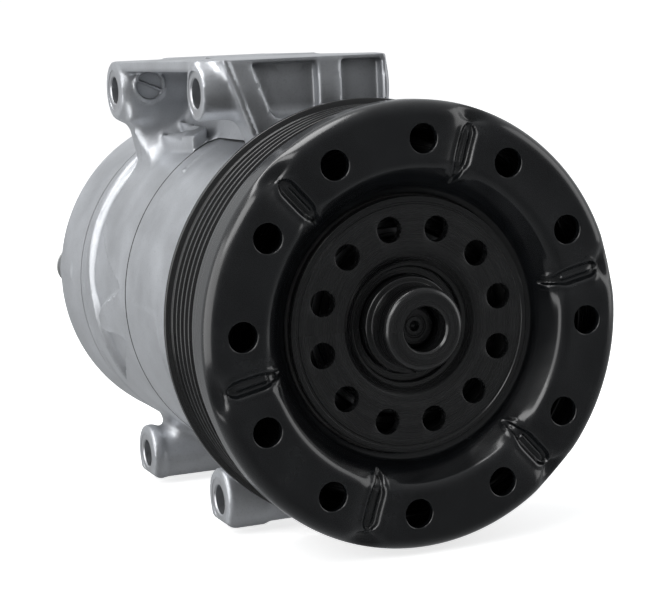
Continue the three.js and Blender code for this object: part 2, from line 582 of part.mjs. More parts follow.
// one single-headed piston, drawn on the +X side: a round head, and a jaw that reaches over the rim of the
// swash plate
function piston() {
  const at = CYLINDER_CIRCLE;
  const head = rodY(PISTON_RADIUS, crown - 0.5, PISTON_TOP, at, 0, SMALL);
  const neck = block([SWASH_RADIUS + 0.6, SWASH_RADIUS + 6.4], [pistonFoot, crown], [-7, 7]);
  const rearJaw = block([24.5, SWASH_RADIUS + 1], [SWASH_MIDDLE + throat, crown], [-8, 8]);
  const frontJaw = block([24.5, SWASH_RADIUS + 1], [pistonFoot, SWASH_MIDDLE - throat], [-8, 8]);
  const pocket = ball(SHOE_RADIUS + GAP, at, SWASH_MIDDLE, 0, HOLE, 6);
  return cut(join(head, neck, rearJaw, frontJaw), pocket);
}

// a shoe: the cap of a ball, flat against the swash plate; side is +1 behind the plate and -1 before it
function shoe(side) {
  const flat = SWASH_MIDDLE + side * (SWASH_THICKNESS / 2 + GAP);
  const keep = side > 0 ? [flat, flat + 12] : [flat - 12, flat];
  const whole = ball(SHOE_RADIUS - 2 * GAP, CYLINDER_CIRCLE, SWASH_MIDDLE, 0, HOLE, 6);
  return whole.intersect(block([CYLINDER_CIRCLE - 12, CYLINDER_CIRCLE + 12], keep, [-12, 12]));
}

angles(CYLINDERS, CYLINDER_ANGLE).forEach((angle, i) => {
  add(`piston_${i + 1}`, turnedTo(piston(), angle), turnedAluminium);
  add(`front_shoe_${i + 1}`, turnedTo(shoe(-1), angle), steel);
  add(`rear_shoe_${i + 1}`, turnedTo(shoe(1), angle), steel);
});

// ---------------------------------------------------------------- valves on the rear housing
function controlValve() {
  const stem = rodX(VALVE_BORE - GAP, 24, 44, VALVE_Y, VALVE_HEIGHT, SMALL);
  const waist = rodX(VALVE_BORE - 1.6, 43, VALVE_BOSS_END + 1, VALVE_Y, VALVE_HEIGHT, SMALL);
  const coil = rodX(11, VALVE_BOSS_END + GAP, VALVE_END, VALVE_Y, VALVE_HEIGHT, ROUND);
  return join(stem, waist, coil);
}

const SHELL = { x: [54.5, VALVE_END], z: [VALVE_HEIGHT - 8, VALVE_HEIGHT + 8] };
const SOCKET = { x: [55.8, 61.2], z: [VALVE_HEIGHT - 6, VALVE_HEIGHT + 6] };

function valveConnector() {
  const rear = CONNECTOR_REAR;
  const shell = block(SHELL.x, [VALVE_Y + VALVE_BOSS_RADIUS + GAP, rear], SHELL.z);
  return cut(shell, block(SOCKET.x, [rear - 10, rear + 1], SOCKET.z));
}

add('control_valve', controlValve(), steel);
add('valve_connector', valveConnector(), blackPlastic);
const reliefThread = rodY(RELIEF.thread, REAR_WALL - 3, REAR_FACE + 1, RELIEF.x, RELIEF.z);
const reliefHead = rodY(RELIEF.head, REAR_FACE + 0.4, REAR_FACE + 5.6, RELIEF.x, RELIEF.z, 6);
const reliefCap = rodY(RELIEF.cap, REAR_FACE + 5, REAR_FACE + 9.5, RELIEF.x, RELIEF.z);
add('relief_valve', join(reliefThread, reliefHead, reliefCap), steel);

// ---------------------------------------------------------------- place on its lower lugs, centred along Y
compressor.position.set(0, -(NOSE_FRONT + CONNECTOR_REAR) / 2, -LUG_BOTTOM);

export default assembly;
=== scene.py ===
import json
import math

import bmesh
import bpy
import numpy as np
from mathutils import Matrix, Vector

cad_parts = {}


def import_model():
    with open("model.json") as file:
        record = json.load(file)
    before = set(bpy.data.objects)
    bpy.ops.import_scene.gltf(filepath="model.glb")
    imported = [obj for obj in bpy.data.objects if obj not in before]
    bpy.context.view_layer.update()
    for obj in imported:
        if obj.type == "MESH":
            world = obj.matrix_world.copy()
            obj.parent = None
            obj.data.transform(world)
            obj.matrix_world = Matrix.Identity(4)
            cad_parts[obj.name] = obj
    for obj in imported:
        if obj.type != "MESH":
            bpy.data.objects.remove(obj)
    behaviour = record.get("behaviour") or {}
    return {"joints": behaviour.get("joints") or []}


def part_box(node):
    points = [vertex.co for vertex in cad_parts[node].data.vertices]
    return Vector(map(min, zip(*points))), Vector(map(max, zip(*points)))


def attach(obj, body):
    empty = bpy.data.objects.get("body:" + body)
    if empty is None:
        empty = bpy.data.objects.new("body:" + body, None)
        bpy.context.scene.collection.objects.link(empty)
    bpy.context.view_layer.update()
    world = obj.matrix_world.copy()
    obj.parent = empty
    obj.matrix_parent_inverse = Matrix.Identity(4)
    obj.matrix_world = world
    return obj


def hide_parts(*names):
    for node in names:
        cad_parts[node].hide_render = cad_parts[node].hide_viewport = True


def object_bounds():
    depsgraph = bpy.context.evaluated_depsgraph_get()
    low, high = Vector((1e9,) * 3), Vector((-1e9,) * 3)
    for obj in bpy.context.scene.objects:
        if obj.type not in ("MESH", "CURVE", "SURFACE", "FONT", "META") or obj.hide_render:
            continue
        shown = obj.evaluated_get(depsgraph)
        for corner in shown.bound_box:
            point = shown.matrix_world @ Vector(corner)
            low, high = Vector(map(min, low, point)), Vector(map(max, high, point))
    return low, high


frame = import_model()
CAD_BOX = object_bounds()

import openvdb
from mathutils import Matrix, Vector

# ---------------------------------------------------------------- places, from the frame
MM = 0.001
SPIN = next(j for j in frame["joints"] if j["name"] == "pulley_spin")
ORIGIN = np.array([0.0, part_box("front_plate")[0].y, SPIN["pos_m"][2]])


def to_frame(points):
    return np.asarray(points, float) * MM + ORIGIN


def span(node):
    """A node's lowest and highest corner, in shaft millimetres."""
    low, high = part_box(node)
    return (np.array(low) - ORIGIN) / MM, (np.array(high) - ORIGIN) / MM


def ends(node):
    """Where a node starts and stops along the shaft."""
    low, high = span(node)
    return low[1], high[1]


FLANGE_RADIUS = span("pulley")[1][0]
RIM_FRONT, PULLEY_REAR = ends("pulley")
SKIRT_END = 9.2                  # the plate's turned-back rim stops short of the pulley
NOSE_FRONT, HUB_REAR = ends("hub")
DISC_RADIUS = span("hub_disc")[1][0]
DISC_FRONT = ends("hub_disc")[0]
SHAFT_TIP, SHAFT_END = ends("drive_shaft")
FRONT_SEAM = ends("front_housing")[1]
REAR_SEAM = ends("cylinder_block")[1]

FAR = 40.0                       # a distance field's value where nothing is near
ARC_SQUEEZE = 0.0002             # how far one radian stretches a tool mark, in metres
GROOVES = 5
GROOVE_PITCH = 3.56
RIB_RADIUS = 61.0
ROOT_RADIUS = 58.1
FIRST_RIB = 17.3
PLATE_HOLES = 12
PLATE_HOLE_CIRCLE = 52.26
PLATE_HOLE_RADIUS = 4.1
PLATE_HOLE_ANGLE = 27.09
PINCHES = 6
PINCH_ANGLE = 12.09
DISC_HOLE_CIRCLE = 27.8
DISC_HOLE_RADIUS = 3.6
DISC_HOLE_ANGLE = 12.15


# ---------------------------------------------------------------- mesh building
def mesh_object(name, points, face_sets, materials):
    """A mesh object from points in shaft millimetres and arrays of faces."""
    mesh = bpy.data.meshes.new(name)
    points = to_frame(points)
    corners = np.concatenate([np.asarray(f).ravel() for f in face_sets]).astype(np.int32)
    sizes = np.concatenate([np.full(len(f), np.asarray(f).shape[1]) for f in face_sets])
    mesh.vertices.add(len(points))
    mesh.vertices.foreach_set("co", points.astype(np.float32).ravel())
    mesh.loops.add(len(corners))
    mesh.loops.foreach_set("vertex_index", corners)
    mesh.polygons.add(len(sizes))
    mesh.polygons.foreach_set("loop_start", (np.cumsum(sizes) - sizes).astype(np.int32))
    mesh.update(calc_edges=True)
    mesh.validate()
    for material in materials:
        mesh.materials.append(material)
    piece = bpy.data.objects.new(name, mesh)
    bpy.context.scene.collection.objects.link(piece)
    return piece


def tidy(piece, sharp=35.0):
    """Faces pointing out, smooth shading, and hard edges where the surface turns by more than `sharp`."""
    mesh = piece.data
    work = bmesh.new()
    work.from_mesh(mesh)
    bmesh.ops.remove_doubles(work, verts=work.verts, dist=1e-7)
    bmesh.ops.dissolve_degenerate(work, edges=work.edges, dist=1e-7)
    bmesh.ops.recalc_face_normals(work, faces=work.faces)
    work.to_mesh(mesh)
    work.free()
    mesh.shade_smooth()
    mesh.set_sharp_from_angle(angle=math.radians(sharp))
    return piece


def rounded(profile, closed=True, step=12.0):
    """A profile of (radius, y, fillet) corners with each corner turned into an arc of its fillet radius."""
    count = len(profile)
    line = []
    for i, corner in enumerate(profile):
        at = np.array(corner[:2], float)
        fillet = corner[2] if len(corner) > 2 else 0.0
        if fillet <= 0 or (not closed and i in (0, count - 1)):
            line.append(at)
            continue
        back = np.array(profile[i - 1][:2], float) - at
        ahead = np.array(profile[(i + 1) % count][:2], float) - at
        room = 0.499 * min(np.linalg.norm(back), np.linalg.norm(ahead))
        back /= np.linalg.norm(back)
        ahead /= np.linalg.norm(ahead)
        inside = math.acos(max(-1.0, min(1.0, float(back @ ahead))))
        if inside > math.pi - 0.01:
            line.append(at)
            continue
        reach = min(fillet / math.tan(inside / 2), room)
        radius = reach * math.tan(inside / 2)
        middle = at + (back + ahead) / np.linalg.norm(back + ahead) * radius / math.sin(inside / 2)
        first, last = at + back * reach - middle, at + ahead * reach - middle
        turn = math.pi - inside
        steps = max(2, int(math.degrees(turn) / step))
        for k in range(steps + 1):
            t = k / steps
            swing = math.sin((1 - t) * turn) * first + math.sin(t * turn) * last
            line.append(middle + swing / math.sin(turn))
    return np.array(line)


def lathe_arrays(line, segments):
    """Points and faces of a closed profile turned round the shaft axis; points on the axis become poles."""
    angle = np.arange(segments) * 2 * math.pi / segments
    points, rings = [], []
    total = 0
    for radius, y in line:
        if radius < 1e-6:
            points.append(np.array([[0.0, y, 0.0]]))
            rings.append(np.full(segments, total))
            total += 1
        else:
            circle = np.stack([radius * np.cos(angle), np.full(segments, y), radius * np.sin(angle)], -1)
            points.append(circle)
            rings.append(total + np.arange(segments))
            total += segments
    quads, tris = [], []
    for a, b in zip(rings, rings[1:] + rings[:1]):
        a_next, b_next = np.roll(a, -1), np.roll(b, -1)
        if a[0] == a[-1] and b[0] == b[-1]:
            continue
        if a[0] == a[-1]:
            tris.append(np.stack([a, b_next, b], -1))
        elif b[0] == b[-1]:
            tris.append(np.stack([a, a_next, b], -1))
        else:
            quads.append(np.stack([a, a_next, b_next, b], -1))
    return np.concatenate(points), [np.concatenate(f) for f in (quads, tris) if f]


def lathe(name, profile, materials, segments=160, step=15.0, sharp=35.0):
    """A solid of revolution about the shaft, from (radius, y, fillet) corners."""
    points, faces = lathe_arrays(rounded(profile, True, step), segments)
    return tidy(mesh_object(name, points, faces, materials), sharp)


def moved(points, to, along):
    """Points of a shape made round the Y axis, turned to run along X if asked, and moved."""
    points = np.asarray(points, float)
    if along == "x":
        points = points[:, [1, 0, 2]] * [1, -1, 1]
    return points + np.asarray(to, float)


def rod(name, profile, to, along, materials, segments=48, step=20.0, sharp=35.0):
    """A turned piece round its own axis: profile of (radius, distance along, fillet)."""
    points, faces = lathe_arrays(rounded(profile, True, step), segments)
    return tidy(mesh_object(name, moved(points, to, along), faces, materials), sharp)


def apply_modifiers(piece):
    bpy.context.view_layer.update()
    graph = bpy.context.evaluated_depsgraph_get()
    mesh = bpy.data.meshes.new_from_object(piece.evaluated_get(graph))
    old = piece.data
    piece.modifiers.clear()
    piece.data = mesh
    mesh.name = old.name
    bpy.data.meshes.remove(old)
    return piece


def combine(piece, others, operation="DIFFERENCE", sharp=35.0, surface=None):
    """Cuts the others out of a piece, or joins them to it. Faces they leave take the slot in `surface`."""
    for other in others:
        if surface is not None:
            while len(other.data.materials) < len(piece.data.materials):
                other.data.materials.append(piece.data.materials[len(other.data.materials)])
            other.data.polygons.foreach_set("material_index", [surface] * len(other.data.polygons))
        step = piece.modifiers.new(operation.lower(), "BOOLEAN")
        step.operation = operation
        step.solver = "MANIFOLD"
        step.object = other
    apply_modifiers(piece)
    for other in others:
        bpy.data.objects.remove(other)
    piece.data.shade_smooth()
    piece.data.set_sharp_from_angle(angle=math.radians(sharp))
    return piece


def on_circle(radius, degrees):
    return radius * math.cos(math.radians(degrees)), radius * math.sin(math.radians(degrees))


def evenly(count, radius, start):
    """Places at equal steps round the shaft."""
    return [on_circle(radius, start + 360 / count * k) for k in range(count)]


def cutter(radius, start, stop, place=(0, 0, 0), along="y", segments=64, sharp=35.0):
    """A plain round tool."""
    profile = [(0, start), (radius, start), (radius, stop), (0, stop)]
    return rod("tool", profile, place, along, [], segments, sharp=sharp)


def bore(radius, start, stop, at=(0, 0), segments=64):
    return cutter(radius, start, stop, (at[0], 0, at[1]), "y", segments)


def cross_bore(radius, start, stop, y, z, chamfer=0.0):
    """A cutter along X, with a small chamfer at its left mouth."""
    profile = [(0, start - 2), (radius + chamfer, start - 2), (radius + chamfer, start),
               (radius, start + chamfer), (radius, stop), (0, stop)]
    return rod("tool", profile, (0, y, z), "x", [], 64)


def hole_tool(radius, face, at, flare=0.35, depth=8):
    """A cutter along Y for a hole whose mouth, at y = face, is slightly rounded."""
    x, z = at
    return rod("tool", [
        (0, face - 3), (radius + flare, face - 3), (radius + flare, face),
        (radius + flare * 0.45, face + flare * 0.25), (radius, face + flare * 1.1),
        (radius, face + depth), (0, face + depth)], (x, 0, z), "y", [], 48)


def ring_profile(inner, outer, start, stop, edge=0.0, inner_edge=0.0):
    """The four corners of a plain ring, for lathe()."""
    return [(inner, start, inner_edge), (outer, start, edge), (outer, stop, edge), (inner, stop, inner_edge)]


def ball_profile(radius, middle, count):
    """A half circle from pole to pole, for turning a ball."""
    arc = [(radius * math.sin(a), middle - radius * math.cos(a)) for a in np.linspace(0, math.pi, count)]
    return [(0, arc[0][1])] + arc[1:-1] + [(0, arc[-1][1])]


# ---------------------------------------------------------------- cast shapes, as distance fields
def blended(old, new, blend):
    """The smaller of two distances, with a fillet where they meet."""
    weight = np.clip(0.5 + 0.5 * (new - old) / blend, 0, 1)
    return new * (1 - weight) + old * weight - blend * weight * (1 - weight)


class Casting:
    """A cast solid as a signed distance field in shaft millimetres, negative inside, with filleted joins."""

    def __init__(self, low, high, voxel):
        self.voxel = voxel
        margin = 3 * voxel
        self.low = np.array(low, float) - margin
        counts = np.ceil((np.array(high, float) + margin - self.low) / voxel).astype(int) + 1
        self.high = self.low + voxel * counts
        lines = [(self.low[i] + voxel * np.arange(counts[i])).astype(np.float32) for i in range(3)]
        self.axes = [lines[0][:, None, None], lines[1][None, :, None], lines[2][None, None, :]]
        self.field = np.full(counts, FAR, np.float32)

    def part(self, low, high):
        """The slice of the grid that holds a box, and its coordinates."""
        start = np.clip(((np.array(low, float) - self.low) / self.voxel).astype(int), 0, self.field.shape)
        stop = np.clip(((np.array(high, float) - self.low) / self.voxel).astype(int) + 2, 0, self.field.shape)
        cut = tuple(slice(a, b) for a, b in zip(start, stop))
        x, y, z = self.axes
        return cut, x[cut[0]], y[:, cut[1]], z[:, :, cut[2]]

    def join(self, shape, blend, box=None):
        """Adds a shape: everywhere, or only within a box."""
        cut, x, y, z = self.part(*(box or (self.low, self.high)))
        self.field[cut] = blended(self.field[cut], shape(x, y, z), blend)

    def cut(self, shape, blend):
        self.field[:] = -blended(-self.field, shape(*self.axes), blend)

    def keep(self, shape, blend):
        """Keeps only what lies inside the shape."""
        self.field[:] = -blended(-self.field, -shape(*self.axes), blend)

    def merge(self, other, blend):
        """Joins another casting, built on its own grid, to this one."""
        last = np.array(other.field.shape) - 1
        cut, x, y, z = self.part(other.low, other.low + last * other.voxel)
        self.field[cut] = blended(self.field[cut], other.sample(x, y, z), blend)

    def sample(self, x, y, z):
        """The field at the points of another grid."""
        rows = [np.clip(((axis.ravel() - low) / self.voxel), 0, count - 1.001)
                for axis, low, count in zip((x, y, z), self.low, self.field.shape)]
        value = self.field
        for axis, place in enumerate(rows):
            lower = np.floor(place).astype(int)
            part = (place - lower).astype(np.float32).reshape([-1 if k == axis else 1 for k in range(3)])
            value = np.take(value, lower, axis) * (1 - part) + np.take(value, lower + 1, axis) * part
        return value

    def to_object(self, name, materials, adaptivity=0.006):
        band = 3 * self.voxel
        grid = openvdb.FloatGrid(band)
        grid.copyFromArray(np.clip(self.field, -band, band))
        points, triangles, quads = grid.convertToPolygons(0.0, adaptivity)
        faces = [f[:, ::-1] for f in (quads, triangles) if len(f)]
        points = points * self.voxel + self.low
        piece = mesh_object(name, points, faces, materials)
        piece.data.shade_smooth()
        return piece


def slab_distance(flat, along, start, stop, edge):
    """Distance to a shape of constant section `flat` between two planes, with its rim rounded by `edge`."""
    beyond = np.abs(along - (start + stop) / 2) - (stop - start) / 2
    a, b = flat + edge, beyond + edge
    return np.minimum(np.maximum(a, b), 0) + np.hypot(np.maximum(a, 0), np.maximum(b, 0)) - edge


def drum_y(x0, z0, radius, start, stop, edge=1.0):
    return lambda x, y, z: slab_distance(np.hypot(x - x0, z - z0) - radius, y, start, stop, edge)


def drum_x(y0, z0, radius, start, stop, edge=1.0):
    return lambda x, y, z: slab_distance(np.hypot(y - y0, z - z0) - radius, x, start, stop, edge)


def brick(low, high, edge=1.0):
    middle = (np.array(low, float) + np.array(high, float)) / 2
    half = (np.array(high, float) - np.array(low, float)) / 2 - edge

    def distance(x, y, z):
        q = [np.abs(c - m) - h for c, m, h in zip((x, y, z), middle, half)]
        outside = np.sqrt(sum(np.maximum(c, 0) ** 2 for c in q))
        return outside + np.minimum(np.maximum(np.maximum(q[0], q[1]), q[2]), 0) - edge
    return distance


def cone_y(radii, start, stop, edge):
    """A round bar on the shaft axis whose radius changes evenly from the first of radii to the second."""
    def distance(x, y, z):
        here = radii[0] + (radii[1] - radii[0]) * np.clip((y - start) / (stop - start), 0, 1)
        return slab_distance(np.hypot(x, z) - here, y, start, stop, edge)
    return distance


def plank(outline, start, stop, edge):
    """A convex outline of (x, z) points between two planes across the shaft."""
    points = np.array(outline, float)
    turning = np.sum(points[:, 0] * np.roll(points[:, 1], -1) - np.roll(points[:, 0], -1) * points[:, 1])
    if turning < 0:
        points = points[::-1]

    def distance(x, y, z):
        flat = None
        for a, b in zip(points, np.roll(points, -1, 0)):
            way = (b - a) / np.linalg.norm(b - a)
            side = (x - a[0]) * way[1] - (z - a[1]) * way[0]
            flat = side if flat is None else -blended(-flat, -side, edge)
        return slab_distance(flat, y, start, stop, edge)
    return distance


def rope(a, b, radius):
    """A round bar with round ends, from one point to another."""
    a, b = np.array(a, float), np.array(b, float)
    way = b - a

    def distance(x, y, z):
        t = np.clip(((x - a[0]) * way[0] + (y - a[1]) * way[1] + (z - a[2]) * way[2]) / (way @ way), 0, 1)
        return np.sqrt((x - a[0] - t * way[0]) ** 2 + (y - a[1] - t * way[1]) ** 2
                       + (z - a[2] - t * way[2]) ** 2) - radius
    return distance


def around(low, high, margin=5):
    return np.array(low, float) - margin, np.array(high, float) + margin


# ---------------------------------------------------------------- materials
class Graph:
    """A node tree, with short helpers for what the materials share."""

    def __init__(self, tree):
        self.nodes = tree.nodes
        self.new, self.link = tree.nodes.new, tree.links.new

    def set(self, socket, value):
        """Links a socket to another one, or gives it a number or a colour."""
        if isinstance(value, bpy.types.NodeSocket):
            self.link(value, socket)
        elif isinstance(value, tuple):
            socket.default_value = (*value, 1)
        else:
            socket.default_value = value

    def noise(self, vector, scale, detail=2.0, roughness=0.5):
        node = self.new("ShaderNodeTexNoise")
        values = {"Scale": scale, "Detail": detail, "Roughness": roughness, "Vector": vector}
        for name, value in values.items():
            self.set(node.inputs[name], value)
        return node.outputs["Fac"]

    def remap(self, value, low, high, from_low=0.3, from_high=0.7):
        node = self.new("ShaderNodeMapRange")
        numbers = {"From Min": from_low, "From Max": from_high, "To Min": low, "To Max": high}
        for name, number in numbers.items():
            self.set(node.inputs[name], number)
        self.link(value, node.inputs["Value"])
        return node.outputs["Result"]

    def mix(self, factor, first, second):
        node = self.new("ShaderNodeMix")
        node.data_type = "RGBA"
        self.link(factor, node.inputs["Factor"])
        for name, color in (("A", first), ("B", second)):
            self.set(next(i for i in node.inputs if i.name == name and i.type == "RGBA"), color)
        return next(o for o in node.outputs if o.type == "RGBA")

    def math(self, operation, first, second=None):
        node = self.new("ShaderNodeMath")
        node.operation = operation
        self.link(first, node.inputs[0])
        if second is not None:
            self.set(node.inputs[1], second)
        return node.outputs[0]

    def position(self):
        return self.new("ShaderNodeTexCoord").outputs["Object"]

    def polar(self, position):
        """A vector of (radius from the shaft, angle, place along the shaft), for turned surfaces."""
        shift = self.new("ShaderNodeVectorMath")
        shift.operation = "SUBTRACT"
        shift.inputs[1].default_value = tuple(ORIGIN)
        self.link(position, shift.inputs[0])
        split = self.new("ShaderNodeSeparateXYZ")
        self.link(shift.outputs["Vector"], split.inputs[0])
        x, y, z = split.outputs
        square = self.math("ADD", self.math("MULTIPLY", x, x), self.math("MULTIPLY", z, z))
        angle = self.math("MULTIPLY", self.math("ARCTAN2", z, x), ARC_SQUEEZE)
        join = self.new("ShaderNodeCombineXYZ")
        for value, socket in zip((self.math("SQRT", square), angle, y), join.inputs):
            self.link(value, socket)
        return join.outputs["Vector"]


class Surface(Graph):
    """A Principled material."""

    def __init__(self, name, color, roughness, metallic):
        self.material = bpy.data.materials.new(name)
        self.material.use_nodes = True
        super().__init__(self.material.node_tree)
        for name, value in (("Base Color", color), ("Roughness", roughness), ("Metallic", metallic)):
            self.give(name, value)

    def give(self, name, value):
        self.set(self.nodes["Principled BSDF"].inputs[name], value)

    def bump(self, *heights):
        """Stacks bumps, each a (value, height in millimetres), and returns the finished material."""
        last = None
        for value, height in heights:
            node = self.new("ShaderNodeBump")
            self.set(node.inputs["Strength"], 1.0)
            self.set(node.inputs["Distance"], height * MM)
            self.link(value, node.inputs["Height"])
            if last is not None:
                self.link(last, node.inputs["Normal"])
            last = node.outputs["Normal"]
        self.give("Normal", last)
        return self.material


def shade(color, factor):
    return tuple(min(1.0, c * factor) for c in color)


def black_coat(name, turned=False):
    """Satin black electro-coat over pressed or turned steel."""
    look = Surface(name, (0.006, 0.0065, 0.0075), 0.3, 0.0)
    for socket, value in (("Specular IOR Level", 0.75), ("Coat Weight", 0.35), ("Coat Roughness", 0.12)):
        look.give(socket, value)
    position = look.position()
    grain = look.noise(position, 2600, 3)
    cloud = look.noise(position, 90, 4, 0.6)
    waves = look.noise(position, 160, 1)
    heights = [(waves, 0.03), (grain, 0.005)]
    tone, dark, light = cloud, (0.0022, 0.0026, 0.0032), (0.005, 0.0058, 0.0068)
    gloss = look.remap(cloud, 0.2, 0.28)
    if turned:
        polar = look.polar(position)
        marks = look.noise(polar, 2200, 2)
        rings = look.noise(polar, 520, 3, 0.6)
        heights += [(marks, 0.012), (rings, 0.022)]
        tone, dark, light = rings, (0.0018, 0.002, 0.0022), (0.008, 0.0082, 0.0086)
        gloss = look.remap(marks, 0.18, 0.34)
    look.give("Base Color", look.mix(look.remap(tone, 0, 1), dark, light))
    look.give("Roughness", gloss)
    return look.bump(*heights)


def cast_metal(name, color, grain_height, roughness):
    """Die-cast aluminium, lightly blasted: fine grain, faint flow clouds, darker pits, and painted shade
    darkening its corners and creases.
    """
    look = Surface(name, color, roughness, 0.85)
    position = look.position()
    cloud = look.noise(position, 55, 5, 0.62)
    grain = look.noise(position, 1500, 4, 0.6)
    lumps = look.noise(position, 320, 3, 0.5)
    tone = look.mix(look.remap(cloud, 0, 1, 0.3, 0.72), shade(color, 0.84), shade(color, 1.08))
    speck = look.remap(grain, 0.0, 0.35, 0.54, 0.7)
    pitted = look.mix(speck, tone, shade(color, 0.6))
    # painted shade: an ambient-occlusion node darkens the base colour in corners, creases and recesses, where
    # shade falls
    corners = look.new("ShaderNodeAmbientOcclusion")
    corners.samples = 6
    corners.inputs["Distance"].default_value = 5 * MM
    ao_painted_shade_factor = look.remap(corners.outputs["AO"], 0.0, 1.0, 0.45, 0.95)
    look.give("Base Color", look.mix(ao_painted_shade_factor, shade(color, 0.45), pitted))
    look.give("Roughness", look.remap(cloud, roughness - 0.06, roughness + 0.08))
    return look.bump((lumps, grain_height * 1.4), (grain, grain_height))


def machined_metal(name, color, roughness, polar=False, stretch=(1, 1, 1), marks=0.01):
    """Cut metal: fine tool marks, round the shaft or along one axis."""
    look = Surface(name, color, roughness, 1.0)
    position = look.position()
    if polar:
        along = look.polar(position)
    else:
        scale = look.new("ShaderNodeVectorMath")
        scale.operation = "MULTIPLY"
        scale.inputs[1].default_value = stretch
        look.link(position, scale.inputs[0])
        along = scale.outputs["Vector"]
    fine = look.noise(along, 2600, 3, 0.6)
    broad = look.noise(position, 140, 3, 0.55)
    look.give("Base Color", look.mix(look.remap(broad, 0, 1), shade(color, 0.82), color))
    look.give("Roughness", look.remap(fine, roughness - 0.07, roughness + 0.09))
    return look.bump((broad, marks), (fine, marks))


def moulded(name, color, roughness, grain):
    """Rubber or plastic with a fine moulded grain."""
    look = Surface(name, color, roughness, 0.0)
    position = look.position()
    cloud = look.noise(position, 180, 4, 0.6)
    fine = look.noise(position, 2400, 3)
    light = tuple(c * 1.7 + 0.004 for c in color)
    look.give("Base Color", look.mix(look.remap(cloud, 0, 1), color, light))
    look.give("Roughness", look.remap(cloud, roughness - 0.08, roughness + 0.06))
    return look.bump((cloud, 0.03), (fine, grain))


COAT = black_coat("black_coat_pressed")
TURNED_COAT = black_coat("black_coat_turned", turned=True)
CAST = cast_metal("cast_aluminium", (0.56, 0.575, 0.6), 0.02, 0.4)
MACHINED = machined_metal("machined_aluminium", (0.68, 0.69, 0.71), 0.34, stretch=(1, 1, 0.05))
TURNED = machined_metal("turned_aluminium", (0.72, 0.73, 0.74), 0.3, polar=True)
STEEL = machined_metal("ground_steel", (0.55, 0.56, 0.57), 0.28, polar=True, marks=0.006)
ZINC = machined_metal("zinc_steel", (0.56, 0.57, 0.56), 0.36, marks=0.015)
DARK_STEEL = machined_metal("phosphated_steel", (0.1, 0.1, 0.105), 0.5, marks=0.02)
BRONZE = machined_metal("sintered_bronze", (0.42, 0.28, 0.13), 0.42, polar=True, marks=0.012)
RUBBER = moulded("moulded_rubber", (0.012, 0.012, 0.012), 0.72, 0.01)
PLASTIC = moulded("moulded_nylon", (0.014, 0.014, 0.015), 0.5, 0.012)


def ride(piece, body, slot, *nodes):
    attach(piece, body)
    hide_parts(*nodes)


# ---------------------------------------------------------------- pulley group
def smooth(value):
    value = np.clip(value, 0, 1)
    return value * value * (3 - 2 * value)


def front_plate():
    """The pressed front plate: two rounded shoulders, twelve holes, and six radial pinches folded into it."""
    thickness = 2.2
    per_pinch = 108
    crowding = 0.62              # how much closer the mesh lines stand at a pinch
    longest = 0.45               # longest step along the profile
    front = [(FLANGE_RADIUS, SKIRT_END), (FLANGE_RADIUS, 0.0, 8.2), (52.3, 0.4, 40), (44.8, 0.0, 3.8),
             (38.9, 9.9, 3.4), (36.9, 10.4)]
    line = rounded(front, closed=False, step=4.0)
    dense = [line[0]]
    for a, b in zip(line, line[1:]):
        steps = max(1, int(np.linalg.norm(b - a) / longest))
        dense += [a + (b - a) * k / steps for k in range(1, steps + 1)]
    line = np.array(dense)
    along = np.gradient(line, axis=0)
    along /= np.linalg.norm(along, axis=1)[:, None]
    # the normal that points into the sheet: rearwards on the face, inwards on the skirt
    inward = np.stack([along[:, 1], -along[:, 0]], -1)

    t = (np.arange(per_pinch) / per_pinch) - 0.5
    local = (t - crowding * np.sin(2 * math.pi * t) / (2 * math.pi)) * 2 * math.pi / PINCHES
    angle = np.concatenate([local + math.radians(PINCH_ANGLE + 360 / PINCHES * k) for k in range(PINCHES)])
    local = np.tile(local, PINCHES)

    # each pinch is a broad dent, and in it a narrow channel with a ridge along its middle and a lip round it
    radius, y = line[:, 0][:, None], line[:, 1][:, None]
    side = radius * np.sin(local)[None, :]
    reach = smooth((radius - 39.5) / 5.0) * smooth((4.2 - y) / 3.8)
    outer = smooth((radius - 55) / 6)
    broad = reach * ((1.7 + 1.5 * outer) * np.exp(-(side / 4.6) ** 2))
    fade = smooth((radius - 40.6) / 1.5) * smooth((58.4 - radius) / 1.0)
    half = 2.6 * np.sqrt(smooth((radius - 40.0) / 9.0)) * np.sqrt(smooth((58.6 - radius) / 3.0)) + 1e-3
    channel = 1.15 * smooth(np.clip(1 - np.abs(side) / half, 0, 1) / 0.5)
    ridge = 0.7 * np.exp(-(side / 0.7) ** 2) * smooth((radius - 43) / 4) * smooth((57 - radius) / 3)
    lip = 0.3 * np.exp(-((np.abs(side) - half - 0.5) / 0.7) ** 2)
    fold = (channel - ridge - lip) * fade

    def sheet(depth):
        spots = line[:, None, :] + inward[:, None, :] * depth[:, :, None]
        return np.stack([spots[..., 0] * np.cos(angle), spots[..., 1], spots[..., 0] * np.sin(angle)], -1)

    outside = sheet(broad + fold)
    back = sheet(broad + thickness)[::-1][::2]
    grid = np.concatenate([outside, back])
    rows, columns = grid.shape[:2]
    index = np.arange(rows * columns).reshape(rows, columns)
    down, across = np.roll(index, -1, 0), np.roll(index, -1, 1)
    quads = np.stack([index, across, np.roll(down, -1, 1), down], -1).reshape(-1, 4)
    plate = tidy(mesh_object("front_plate_pressed", grid.reshape(-1, 3), [quads], [COAT]), 50)
    holes = evenly(PLATE_HOLES, PLATE_HOLE_CIRCLE, PLATE_HOLE_ANGLE)
    combine(plate, [hole_tool(PLATE_HOLE_RADIUS, 0.5, at) for at in holes], sharp=40)
    ride(plate, "pulley", "black_coat", "front_plate")


